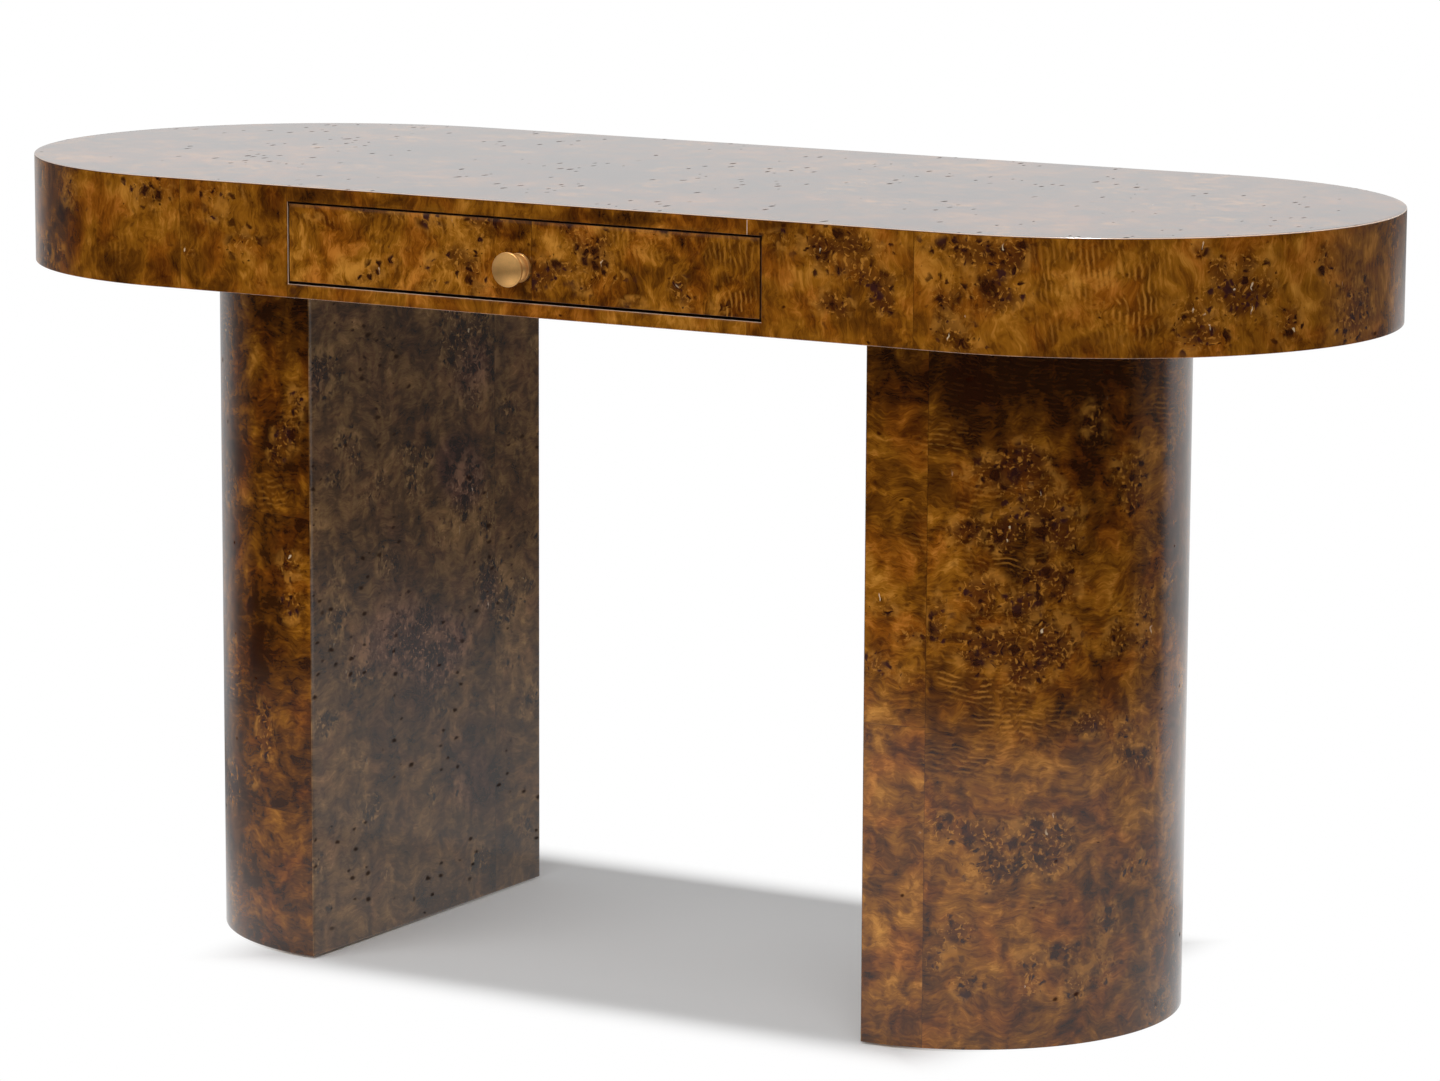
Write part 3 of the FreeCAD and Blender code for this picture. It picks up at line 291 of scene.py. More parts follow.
LEFT_FLAT_EYES = (
    (-150, 500, 14, 14, .5), (-165, 465, 16, 10, .5), (-45, 475, 20, 10, .5), (-110, 440, 30, 16, .3),
    (70, 420, 40, 40, .4), (-60, 290, 70, 40, .35), (30, 270, 60, 30, .35), (80, 550, 50, 40, .35),
    (-180, 570, 40, 30, .4),
)
LEFT_FLAT_TONES = (
    (-180, 570, 40, 30, -.4), (80, 550, 50, 40, -.35), (0, 570, 30, 20, -.3), (70, 430, 40, 40, -.45),
    (-60, 290, 70, 40, -.4), (30, 270, 60, 30, -.4),
)

# Leaves of veneer, as (from, to, low, high) in millimetres; what no leaf holds is one leaf of its own.
APRON_LEAVES = tuple((low, high, 600, 800) for low, high in
                     ((-980, -393), (-393, -270), (-270, 228), (228, 397), (397, 980)))
DRAWER_LEAVES = ((-300, 1, 600, 800), (1, 300, 600, 800))
TOP_LEAVES = tuple((low, low + 394, back - 400, back) for low in (-787, -393, 1, 395) for back in (0, 400))
RIGHT_LEG_LEAVES = ((-10, 60, -10, 300), (-10, 60, 300, 700), (60, 395, -10, 700))
LEFT_LEG_LEAVES = ((-10, 330, -10, 142), (-10, 330, 142, 432), (-10, 330, 432, 700))
FLAT_LEAVES = ((-220, 120, -10, 700),)
# The seam over the drawer's right end is pale.
PALE_SEAM = 228

# What is given for the legs of both sides: knots, tones and, on the round faces, flames.
LEG_FIGURES = {
    "left": (LEFT_LEG_EYES, LEFT_LEG_TONES, LEFT_LEG_FLAMES),
    "right": (RIGHT_LEG_EYES, RIGHT_LEG_TONES_AND_SHADOW, RIGHT_LEG_FLAMES),
}
LEG_LEAVES = {"left": LEFT_LEG_LEAVES, "right": RIGHT_LEG_LEAVES}
FLAT_FIGURES = {"left": (LEFT_FLAT_EYES, LEFT_FLAT_TONES), "right": ((), ())}

# What is thrown at random over the faces out of the main view, in millimetres: knots, tones and flames, each
# with its count, the span of its reach and the span of its weight.
TOP_SPANS = ((-700, 700), (-280, 280))
TOP_THROWS = ((60, (10, 34), (.15, .75)), (60, (30, 90), (-.4, .4)), (30, (15, 40), (.2, .7)))
APRON_UNSEEN = ((-1700, -620), (820, 1700))
APRON_RISE = (660, 760)
APRON_THROWS = ((30, (10, 30), (.3, .95)), (24, (20, 70), (-.45, .45)), (14, (15, 35), (.3, .9)))
LEG_RISE = (20, 640)
FLAT_SPAN = (-200, 200)
FLAT_THROWS = ((50, (8, 22), (.25, .8)), (24, (25, 70), (-.3, .3)))
# How far round each leg its figure is listed, and the knots thrown on each millimetre beyond.
LEG_SEEN = {"left": 130, "right": 310}
KNOTS_ROUND_LEG = 0.15
# Steps from the figure seed for the kinds on the apron, the legs, the flat faces and the second side.
APRON_SEEDS = (0, 5, 9)
LEG_SEED = 20
FLAT_SEED = 40
SIDE_SEED = 5

# Where in an endless burl each veneer is cut, in metres, how far its ground lies from the middle tone, and
# how far apart its leaves are cut.
CUTS = {"apron": 3.0, "worktop": 11.0, "drawer_front": 23.0, "left_leg_round": 37.0, "right_leg_round": 49.0,
        "left_leg_flat": 61.0, "right_leg_flat": 73.0}
# The left leg's round face is darkened as painted shade under the worktop's overhang.
GROUNDS_AND_SHADE = {"worktop": -0.6, "left_leg_round": -0.5, "left_leg_flat": -0.25, "right_leg_flat": -0.25}
LEAF_APART = np.array((1.7, 2.3))

# Grain of the veneers: fibres and ripples to the metre, shape and share of stray flecks, share of painted
# reflection haze, and contrast.
ACROSS = {"Fibre": (260.0, 40.0, 0.0), "Ripple": (180.0, 24.0, 0.0), "Dash": (1.0, 1.6, 1.0), "Flecks": 0.04,
          "Sheen": 0.0, "Contrast": 1.0}
FRONT = ACROSS | {"Contrast": 1.3}
UPRIGHT = ACROSS | {"Fibre": (40.0, 260.0, 0.0), "Ripple": (24.0, 190.0, 0.0), "Contrast": 1.22}
LEVEL = UPRIGHT | {"Dash": (1.7, 0.75, 1.0), "Flecks": 0.13, "Contrast": 1.0}
INSIDE = UPRIGHT | {"Dash": (0.8, 1.6, 1.0), "Flecks": 0.24, "Sheen": 0.4, "Contrast": 1.0}

# Marks of the burl to the metre.
FLECK_GROUPS = 9.0
CLOUDS = 14.0
SWIRLS = 16.0
WARM_AREAS = 22.0
RIPPLE_BENDS = 24.0
VIOLET_AREAS = 26.0
BLOTCHES = 31.0
BLOTCH_BENDS = 40.0
FLECKS = 46.0
LARGE_KNOTS = 50.0
PATCHES = 52.0
GLINTS = 55.0
FLECK_BENDS = 60.0
MOTTLES = 62.0
KNOT_BENDS = 62.0
RIPPLE_BREAKS = 90.0
MIDDLE_KNOTS = 92.0
CURLS = 95.0
KNOT_CURLS = 170.0
SMALL_KNOTS = 190.0
SPECKLES = 230.0
RAGGED_EDGES = 240.0

# Kinds of group socket.
VALUE = "NodeSocketFloat"
VECTOR = "NodeSocketVector"
COLOUR = "NodeSocketColor"


class Wire:
    """What a node puts out; it adds, subtracts and multiplies like a number, by a maths node each time."""

    def __init__(self, nodes, socket):
        self.nodes = nodes
        self.socket = socket

    def __add__(self, other):
        return self.nodes.maths("ADD", self, other)

    def __sub__(self, other):
        return self.nodes.maths("SUBTRACT", self, other)

    def __rsub__(self, other):
        return self.nodes.maths("SUBTRACT", other, self)

    def __mul__(self, other):
        return self.nodes.maths("MULTIPLY", self, other)


class Nodes:
    """Shorthand for one node tree; most calls add a node and give back a wire from it."""

    def __init__(self, tree):
        self.tree = tree
        tree.nodes.clear()

    def add(self, kind, feeds=(), **settings):
        """New node with its settings and with its inputs fed by number or name."""
        node = self.tree.nodes.new(kind)
        for name, value in settings.items():
            setattr(node, name, value)
        for socket, value in dict(feeds).items():
            self.feed(node.inputs[socket], value)
        return node

    def feed(self, socket, value):
        """Join a wire to an input or set the input; a colour gets full alpha."""
        if isinstance(value, Wire):
            self.tree.links.new(value.socket, socket)
        elif socket.type == "RGBA":
            socket.default_value = (*value, 1.0)
        else:
            socket.default_value = value

    def out(self, kind, feeds=(), output=0, **settings):
        """Wire from one output of a new node."""
        return Wire(self, self.add(kind, feeds, **settings).outputs[output])

    def outs(self, kind, feeds=(), **settings):
        """Wires from all outputs of a new node, by name."""
        return {socket.name: Wire(self, socket) for socket in self.add(kind, feeds, **settings).outputs}

    def show(self, shader, kind="ShaderNodeOutputMaterial"):
        """Put a shader on the tree's output."""
        self.add(kind, {"Surface": shader})

    def maths(self, operation, *values):
        """One number from others."""
        return self.out("ShaderNodeMath", enumerate(values), operation=operation)

    def largest(self, first, *others):
        """The largest of some numbers."""
        for other in others:
            first = self.maths("MAXIMUM", first, other)
        return first

    def vector(self, operation, *values, output="Vector"):
        """One vector, or by the output Value one number, from vectors."""
        return self.out("ShaderNodeVectorMath", enumerate(values), output, operation=operation)

    def split(self, vector):
        """The three numbers of a vector or colour."""
        return list(self.outs("ShaderNodeSeparateXYZ", {0: vector}).values())

    def noise(self, where, scale, detail=2.0, roughness=0.5, output=0, dimensions="2D"):
        """Cloudy noise about a half."""
        feeds = {"Vector": where, "Scale": scale, "Detail": detail, "Roughness": roughness}
        return self.out("ShaderNodeTexNoise", feeds, output, noise_dimensions=dimensions)

    def cells(self, where, scale):
        """Distance from the middle of a scattered cell, and the cell's own three chances."""
        cell = self.outs("ShaderNodeTexVoronoi", {"Vector": where, "Scale": scale}, voronoi_dimensions="2D")
        return cell["Distance"], self.split(cell["Color"])

    def smooth(self, value, low, high, start=0.0, end=1.0):
        """Soft step from start to end while the value goes from low to high."""
        feeds = enumerate((value, low, high, start, end))
        return self.out("ShaderNodeMapRange", feeds, interpolation_type="SMOOTHSTEP")

    def blend(self, amount, first, second, way="MIX"):
        """Two colours mixed by an amount, which is held between 0 and 1."""
        feeds = {0: amount, 6: first, 7: second}
        return self.out("ShaderNodeMix", feeds, 2, data_type="RGBA", blend_type=way)

    def layers(self, shade, *coats):
        """A colour under coats, each an amount and a colour, the last one on top."""
        for amount, coat in coats:
            shade = self.blend(amount, shade, coat)
        return shade

    def ramp(self, value, stops):
        """Colours along a value, from (place, colour) stops."""
        node = self.add("ShaderNodeValToRGB", {0: value})
        elements = node.color_ramp.elements
        while len(elements) < len(stops):
            elements.new(1.0)
        for element, (place, shade) in zip(elements, stops):
            element.position = place
            element.color = (*shade, 1.0)
        return Wire(self, node.outputs["Color"])

    def wander(self, where, scale, reach):
        """A place moved by up to half the reach along a noise."""
        drift = self.vector("SUBTRACT", self.noise(where, scale, output="Color"), (0.5, 0.5, 0.5))
        return self.vector("ADD", where, self.vector("MULTIPLY", drift, (reach, reach, 0.0)))


def node_group(name, inputs, outputs):
    """Shader group with those sockets but no outputs fed yet: its nodes, and the wires from its inputs."""
    tree = bpy.data.node_groups.new(name, "ShaderNodeTree")
    for way, sockets in (("INPUT", inputs), ("OUTPUT", outputs)):
        for title, kind in sockets.items():
            tree.interface.new_socket(name=title, in_out=way, socket_type=kind)
    nodes = Nodes(tree)
    return nodes, nodes.outs("NodeGroupInput")


def new_material(name):
    """Material with an empty node tree, and its nodes."""
    material = bpy.data.materials.new(name)
    material.use_nodes = True
    return material, Nodes(material.node_tree)


def knots(nodes, where, ragged, scale, eyes, radii, hardness):
    """Ragged knots in the cells of a grid, only where the eyes' weight beats the cell's own chance.

    Gives the dark hearts. A knot's radius lies between the two shares of a cell, and it fades from the
    hardness, a share of its radius, to its rim.
    """
    distance, chance = nodes.cells(where, scale)
    present = nodes.smooth(eyes - chance[0], -0.12, 0.14)
    radius = chance[1] * (radii[1] - radii[0]) + radii[0]
    return nodes.smooth(distance + ragged, radius * hardness, radius, 1.0, 0.0) * present


def burl_ground(nodes, given, look, tone, flame):
    """Clouds and blotches of the ground with soft fibres, and the flame: ripples that come and go."""
    swirl = nodes.wander(given["Leaf"], SWIRLS, 0.034)
    curl = nodes.wander(swirl, CURLS, 0.009)
    drawn = nodes.vector("MULTIPLY", curl, given["Fibre"])
    cloud = nodes.noise(swirl, CLOUDS, 3.0)
    blotch = nodes.noise(nodes.wander(swirl, BLOTCH_BENDS, 0.014), BLOTCHES, 3.0, 0.55)
    mottle = nodes.noise(curl, MOTTLES, 4.0, 0.6)
    fibre = nodes.noise(drawn, 1.0, 3.0, 0.65)
    pores = nodes.noise(drawn, 3.4, 1.0)
    marks = ((cloud - 0.5) * 0.68 + (blotch - 0.5) * 0.5 + (mottle - 0.5) * 0.62
             + (fibre - 0.5) * 0.46 + (pores - 0.5) * 0.22)
    # The tone shifts the ground darker and lighter; on the legs it also carries painted shade.
    depth = tone * 0.48 + 0.52 + marks * given["Contrast"]
    plain = nodes.ramp(depth, ((0.08, look.umber), (0.38, look.brown), (0.64, look.amber), (0.95, look.gold)))
    warmth = nodes.smooth(nodes.noise(swirl, WARM_AREAS), 0.42, 0.7, 0.0, 0.32)
    ground = nodes.blend(warmth, plain, look.russet, "SOFT_LIGHT")
    bent = nodes.wander(given["Leaf"], RIPPLE_BENDS, 0.011)
    phase = nodes.vector("DOT_PRODUCT", bent, given["Ripple"], output="Value") * (2 * math.pi)
    wave = nodes.maths("SINE", phase + mottle * 5.0)
    lift = (flame * 0.95 + 0.05) * nodes.smooth(nodes.noise(curl, RIPPLE_BREAKS), 0.38, 0.62)
    crests = nodes.smooth(wave, 0.0, 1.0) * lift
    hollows = nodes.smooth(wave, -0.1, -1.0) * lift
    return nodes.layers(ground, (crests * 0.6, look.gold), (hollows * 0.42, look.umber)), cloud, mottle


def burl_knots(nodes, look, leaf, eyes, ground):
    """Dark smudges with clustered knots in them, golden halo and speckle round them and a few glints."""
    place = nodes.wander(nodes.wander(leaf, KNOT_BENDS, 0.01), KNOT_CURLS, 0.005)
    ragged = (nodes.noise(place, RAGGED_EDGES) - 0.5) * 0.6
    patchy = nodes.noise(place, PATCHES, 3.0, 0.6)
    halo = nodes.smooth(eyes, 0.04, 0.25) * nodes.smooth(eyes, 0.9, 0.4) * nodes.smooth(patchy, 0.45, 0.7)
    wash = nodes.smooth(eyes * (patchy * 1.7 + 0.05), 0.12, 0.85)
    speckle = nodes.noise(place, SPECKLES, 2.0, 0.6)
    pale = nodes.smooth(speckle, 0.55, 0.7) * nodes.smooth(eyes, 0.05, 0.5)
    mild = ragged * 0.65
    large = knots(nodes, place, mild, LARGE_KNOTS, eyes * 0.95 - 0.12, (0.3, 0.56), 0.3)
    middle = knots(nodes, place, mild, MIDDLE_KNOTS, eyes * 0.8, (0.26, 0.5), 0.3)
    small = knots(nodes, place, ragged, SMALL_KNOTS, eyes * 0.5, (0.24, 0.46), 0.2)
    hearts = nodes.largest(large * 0.96, middle * 0.97, small * 0.9)
    cool = nodes.smooth(nodes.noise(leaf, VIOLET_AREAS), 0.48, 0.66)
    distance, luck = nodes.cells(nodes.vector("MULTIPLY", place, (3.2, 1.0, 1.0)), GLINTS)
    rare = nodes.smooth(eyes * 0.075 - luck[0], 0.0, 0.02)
    bright = nodes.smooth(distance + ragged * 0.8, 0.17, 0.04) * rare
    knotted = nodes.layers(ground, (halo * 0.55, look.gold), (wash * 0.7, look.plum),
                           (pale * 0.62, look.gold), (hearts, nodes.blend(cool, look.eye, look.violet)),
                           (bright * 0.75, look.glint))
    return knotted, hearts


def burl_flecks(nodes, given):
    """Stray dark flecks in loose groups, each in a cell of its own and only with some luck."""
    place = nodes.vector("MULTIPLY", nodes.wander(given["Leaf"], FLECK_BENDS, 0.006), given["Dash"])
    distance, luck = nodes.cells(place, FLECKS)
    grouped = nodes.smooth(nodes.noise(given["Leaf"], FLECK_GROUPS, 1.0), 0.45, 0.62, 0.15, 2.6)
    rare = nodes.smooth(given["Flecks"] * grouped - luck[0], 0.0, 0.04)
    size = luck[1] * 0.17 + 0.08
    return nodes.smooth(distance, size, size * 0.3) * rare


def burl_group(look):
    """Burl: clouded ground, rippled flame, clustered knots, stray flecks and leaf seams.

    Edges take a painted highlight and painted shade, and the kneehole faces a painted reflection haze.
    """
    vectors = dict.fromkeys(("Leaf", "Figure", "Fibre", "Ripple", "Dash"), VECTOR)
    values = dict.fromkeys(("Joint", "Edge", "Flecks", "Sheen", "Contrast"), VALUE)
    results = {"Color": COLOUR} | dict.fromkeys(("Roughness", "Lacquer", "Height"), VALUE)
    nodes, given = node_group("burl_figure", vectors | values, results)
    eyes, tone, flame = nodes.split(given["Figure"])
    joint = given["Joint"]
    edge = given["Edge"]
    ground, cloud, mottle = burl_ground(nodes, given, look, tone, flame)
    knotted, hearts = burl_knots(nodes, look, given["Leaf"], eyes, ground)
    fleck = burl_flecks(nodes, given)
    # Flecks, dark seams and the pale seam, then painted shade where the edge value is below zero and a
    # painted highlight where it is above.
    edge_light_and_pale_seam = nodes.layers(knotted, (fleck * 0.9, look.eye),
                          (joint * 0.7, look.seam), (joint * -1.0, look.edge_light_and_pale_seam),
                          (edge * -1.0, look.seam), (edge, look.edge_light_and_pale_seam))
    # Painted reflection haze on the kneehole faces: their colour takes the hue of the olive grey sheen,
    # violet grey where the tone is dark.
    cast = nodes.blend(nodes.smooth(tone, -0.3, -0.6), look.sheen, look.mauve)
    nodes.add("NodeGroupOutput", {
        "Color": nodes.blend(given["Sheen"], edge_light_and_pale_seam, cast, "COLOR"),
        "Roughness": (mottle - 0.5) * 0.06 + look.gloss + hearts * 0.05 + fleck * 0.2,
        "Lacquer": 1.0 - fleck * 0.85,
        "Height": cloud * 0.6 + mottle * 0.12 + hearts * -0.1 + fleck * -0.6 + joint * -0.25,
    })
    return nodes.tree


def burl_material(name, look, grain):
    """Lacquered burl that follows the leaf map and the figure carried by a veneer's mesh."""
    group = bpy.data.node_groups.get("burl_figure") or burl_group(look)
    material, nodes = new_material(name)
    feeds = grain | {"Leaf": nodes.out("ShaderNodeUVMap", uv_map="leaf")}
    for title, output in (("Figure", "Vector"), ("Joint", "Fac"), ("Edge", "Fac")):
        feeds[title] = nodes.out("ShaderNodeAttribute", output=output, attribute_name=title.lower())
    burl = nodes.outs("ShaderNodeGroup", feeds, node_tree=group)
    waves = {"Strength": look.relief_share, "Distance": look.relief, "Height": burl["Height"]}
    nodes.show(nodes.out("ShaderNodeBsdfPrincipled", {
        "Base Color": burl["Color"],
        "Roughness": burl["Roughness"],
        "Coat Weight": burl["Lacquer"],
        "Coat Roughness": look.gloss,
        "Specular IOR Level": 0.0,
        "Normal": nodes.out("ShaderNodeBump", waves),
    }))
    return material


def stations(low, high, step, *fine):
    """Even places from low to high about a step apart, with groups of fine places among them."""
    even = np.linspace(low, high, max(2, round((high - low) / step) + 1))
    fine = np.concatenate(fine)
    fine = fine[(fine > low) & (fine < high)]
    clear = np.abs(even[:, None] - fine).min(axis=1, initial=np.inf) > step / 4
    clear[[0, -1]] = True
    return np.unique(np.concatenate((even[clear], fine)).round(7))


# Steps round the quarter circle of an eased edge, from the face to its side.
ARRIS_TURNS = np.linspace(0, math.pi / 2, 4)


def eased_places(edge, way, arris):
    """Places beside an edge where its rounding is drawn, in even turns of a quarter circle."""
    return edge + way * arris * (1 - np.cos(ARRIS_TURNS))


def seam_places(seams, width):
    """Three places across each seam: its line and both of its sides."""
    return [seam + way * width / 2 for seam in seams for way in (-1, 0, 1)]


def eased_depth(distance, arris):
    """Depth of a rounded edge below the face, that far inside it: a quarter circle of the arris radius."""
    inside = np.clip(arris - distance, 0, arris)
    return arris - np.sqrt(arris ** 2 - inside ** 2)


def patches_field(along, up, patches):
    """Sum of patches, each its weight times exp(-((along - a) / reach)^2 - ((up - u) / rise)^2)."""
    table = np.array(patches, dtype=float).reshape(-1, 5) * (MM, MM, MM, MM, 1)
    a, u, reach, rise, weight = table.T
    far = ((along[:, None] - a) / reach) ** 2 + ((up[:, None] - u) / rise) ** 2
    return (weight * np.exp(-far)).sum(axis=1)


def scattered(seed, along, up, count, reach, weight):
    """Patches thrown evenly over a stretch, in millimetres."""
    draw = np.random.default_rng(seed)
    columns = [draw.uniform(*span, count) for span in (along, up, reach, reach, weight)]
    return tuple(map(tuple, np.stack(columns, axis=1)))


def with_thrown(known, seeds, along, up, kinds):
    """Known patches of each kind, followed by those thrown over a stretch with the kind's own seed."""
    return [placed + scattered(seed, along, up, *kind) for placed, seed, kind in zip(known, seeds, kinds)]


class Figure:
    """Knots, ground tone and flame of one veneer, and the leaves that it is laid up from; on the legs the
    ground tone also carries painted shade.

    The edge light share is how strongly its edges take a painted highlight where they face up and right and
    painted shade where they face away, or below zero paints all of them in shade. Below the rim an edge takes
    an even painted highlight. The pale seam is a line along the veneer and the height above which it is pale.
    """
    # Way that edges face to take the painted highlight, how fast it grows, and the even painted highlight
    # below the rim.
    light_way = np.array((0.65, 0.0, 0.76))
    light_gain = 1.6
    rim_highlight = 0.5

    def __init__(self, name, patches, leaves, edge_light_share=0.0, rim=-1.0, pale_seam=None):
        self.patches = patches
        self.leaves = np.array(leaves, dtype=float) * MM
        self.shift = CUTS[name]
        self.ground = GROUNDS_AND_SHADE.get(name, 0.0)
        self.edge_light_share = edge_light_share
        self.rim = rim
        self.pale_seam = pale_seam

    def field(self, along, up):
        """Weight of knots, ground tone with its painted shade, and weight of flame at each place."""
        eyes, tones, flames = (patches_field(along, up, kind) for kind in self.patches)
        tones = np.clip(tones + self.ground, -1, 1)
        return np.stack((np.clip(eyes, 0, 1), tones, np.clip(flames, 0, 1)), axis=1)

    def painted_edge_light(self, normals, up):
        """Painted light of an edge: an even painted highlight on the rim, a painted highlight where it faces
        up and right, painted shade where it faces away.
        """
        if self.edge_light_share < 0:
            return self.edge_light_share
        edge_light_and_pale_seam = np.clip(normals @ self.light_way * self.light_gain, -1, 1)
        return self.edge_light_share * np.where(up < self.rim, self.rim_highlight, edge_light_and_pale_seam)

    def seams(self, first):
        """Borders of the leaves along (first 0) or up (first 2) the veneer."""
        return np.unique(self.leaves[:, first:first + 2])

    def stations(self, look, first, low, high, *fine):
        """Places from low to high along or up the veneer, with its seams and fine places among them."""
        seams = seam_places(self.seams(first), look.seam_width)
        return stations(low, high, look.step, seams, *fine)

    def leaf_of(self, along, up):
        """Number of the leaf that holds each place, counted from 1, or 0."""
        low_a, high_a, low_u, high_u = self.leaves.T
        a = along[:, None]
        u = up[:, None]
        held = (a > low_a) & (a < high_a) & (u > low_u) & (u < high_u)
        return np.where(held.any(axis=1), held.argmax(axis=1) + 1, 0)

    def joints(self, along, up):
        """1 for each place on a border of a leaf, -1 on the pale seam, 0 elsewhere."""
        low_a, high_a, low_u, high_u = self.leaves.T
        a = along[:, None]
        u = up[:, None]
        beside = (np.abs(a - low_a) < NEAR) | (np.abs(a - high_a) < NEAR)
        level = (np.abs(u - low_u) < NEAR) | (np.abs(u - high_u) < NEAR)
        within_a = (a > low_a - NEAR) & (a < high_a + NEAR)
        within_u = (u > low_u - NEAR) & (u < high_u + NEAR)
        joint = ((beside & within_u) | (level & within_a)).any(axis=1).astype(float)
        if self.pale_seam:
            line, above = self.pale_seam
            joint[(np.abs(along - line) < NEAR) & (up > above)] = -1
        return joint


def add_object(name, data):
    """New object in the scene."""
    thing = bpy.data.objects.new(name, data)
    bpy.context.scene.collection.objects.link(thing)
    return thing


def grid_quads(index):
    """Four-sided faces between the neighbours of a grid of point numbers."""
    return np.stack((index[:-1, :-1], index[1:, :-1], index[1:, 1:], index[:-1, 1:]), axis=-1)


def turned(radius, sides):
    """Rings of points, radius times cosine and sine of the turn, with their numbers and the next ones."""
    turn = np.linspace(0, 2 * math.pi, sides, endpoint=False)
    across = radius[:, None] * np.cos(turn)
    index = np.arange(across.size).reshape(across.shape)
    return across, radius[:, None] * np.sin(turn), index, np.roll(index, -1, axis=1)


# Edges that turn more than this stay sharp.
SHARP_ANGLE = math.radians(18)


def finish_mesh(name, points, quads, triangles=()):
    """Mesh object from arrays of points, four-sided faces and triangles, smooth but for its sharp edges."""
    triangles = np.asarray(triangles, dtype=int).reshape(-1, 3)
    corners = np.concatenate((quads.ravel(), triangles.ravel()))
    used, numbers = np.unique(corners, return_inverse=True)
    sizes = np.concatenate((np.full(len(quads), 4), np.full(len(triangles), 3)))
    mesh = bpy.data.meshes.new(name)
    mesh.vertices.add(len(used))
    mesh.vertices.foreach_set("co", points[used].astype(np.float32).ravel())
    mesh.loops.add(len(corners))
    mesh.loops.foreach_set("vertex_index", numbers.ravel().astype(np.int32))
    mesh.polygons.add(len(sizes))
    mesh.polygons.foreach_set("loop_start", (np.cumsum(sizes) - sizes).astype(np.int32))
    mesh.update(calc_edges=True)
    if mesh.validate():
        raise RuntimeError(f"{name}: the mesh had faces that can't stand")
    mesh.shade_smooth()
    mesh.set_sharp_from_angle(angle=SHARP_ANGLE)
    return add_object(name, mesh), used, corners


def carry(mesh, name, values):
    """Give a mesh a number or a vector for each of its points."""
    kind, field = ("FLOAT_VECTOR", "vector") if values.ndim == 2 else ("FLOAT", "value")
    mesh.attributes.new(name, kind, "POINT").data.foreach_set(field, values.astype(np.float32).ravel())


def carry_figure(piece, used, corners, along, up, edge, figure):
    """Give a veneer its leaf map, shifted for each leaf, and its figure, seams and painted edge highlight and
    shade at its points.
    """
    mesh = piece.data
    face_along = along[corners].reshape(-1, 4)
    face_up = up[corners].reshape(-1, 4)
    leaf = figure.leaf_of(face_along.mean(axis=1), face_up.mean(axis=1))
    apart = figure.shift + LEAF_APART * leaf[:, None]
    places = np.stack((face_along, face_up), axis=2) + apart[:, None, :]
    mesh.uv_layers.new(name="leaf").data.foreach_set("uv", places.astype(np.float32).ravel())
    normals = np.empty((len(used), 3), np.float32)
    mesh.vertex_normals.foreach_get("vector", normals.ravel())
    carry(mesh, "figure", figure.field(along[used], up[used]))
    carry(mesh, "joint", figure.joints(along[used], up[used]))
    carry(mesh, "edge", edge[used] * figure.painted_edge_light(normals, up[used]))


def veneer_sheet(name, along, up, place, depth, thickness, figure, keep=None, wraps=False):
    """Thin sheet on a grid of two parameters.

    place(along, up, depth) gives the point that far along and up the sheet and that deep below its face. The
    face lies at the given depth, the back at the sheet's thickness, and walls close every open side.
    """
    far, high = np.meshgrid(along, up, indexing="ij")
    dip = depth(far, high)
    face = place(far, high, dip)
    back = place(far, high, np.full_like(far, thickness))
    index = np.arange(far.size).reshape(far.shape)
    quads = grid_quads(index)
    keep = np.ones(quads.shape[:2], bool) if keep is None else keep
    ringed = np.pad(keep, 1)
    before = np.roll(keep, 1, axis=0) if wraps else ringed[:-2, 1:-1]
    after = np.roll(keep, -1, axis=0) if wraps else ringed[2:, 1:-1]
    below = ringed[1:-1, :-2]
    above = ringed[1:-1, 2:]
    faces = [quads[keep], quads[keep][:, ::-1] + far.size]
    for neighbour, side in ((below, (1, 0)), (after, (2, 1)), (above, (3, 2)), (before, (0, 3))):
        rim = quads[keep & ~neighbour][:, side]
        faces.append(np.concatenate((rim, rim[:, ::-1] + far.size), axis=1))
    faces = np.concatenate(faces)
    points = np.concatenate((face.reshape(-1, 3), back.reshape(-1, 3)))
    first = points[faces[0]]
    outward = (face - back).reshape(-1, 3)[faces[0, 0]]
    if np.dot(np.cross(first[1] - first[0], first[3] - first[0]), outward) < 0:
        faces = faces[:, ::-1]
    solid = faces
    if wraps:
        merge = np.concatenate((index, index + far.size))
        merge[[len(along) - 1, 2 * len(along) - 1]] = merge[[0, len(along)]]
        solid = merge.ravel()[faces]
    piece, used, _ = finish_mesh(name, points, solid)
    # Depth of an eased edge that takes the painted edge highlight and shade.
    painted_edge_depth = thickness / 3
    edge = np.concatenate((np.clip(dip.ravel() / painted_edge_depth, 0, 1), np.zeros(far.size)))
    carry_figure(piece, used, faces.ravel(), np.tile(far.ravel(), 2), np.tile(high.ravel(), 2), edge, figure)
    return piece


def dress(piece, body, slot, material, *nodes):
    """Hand a finished piece to the frame: its material, body and the CAD nodes that it stands for; the slot
    of its finish is not used.
    """
    piece.data.materials.append(material)
    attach(piece, body)
    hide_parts(*nodes)


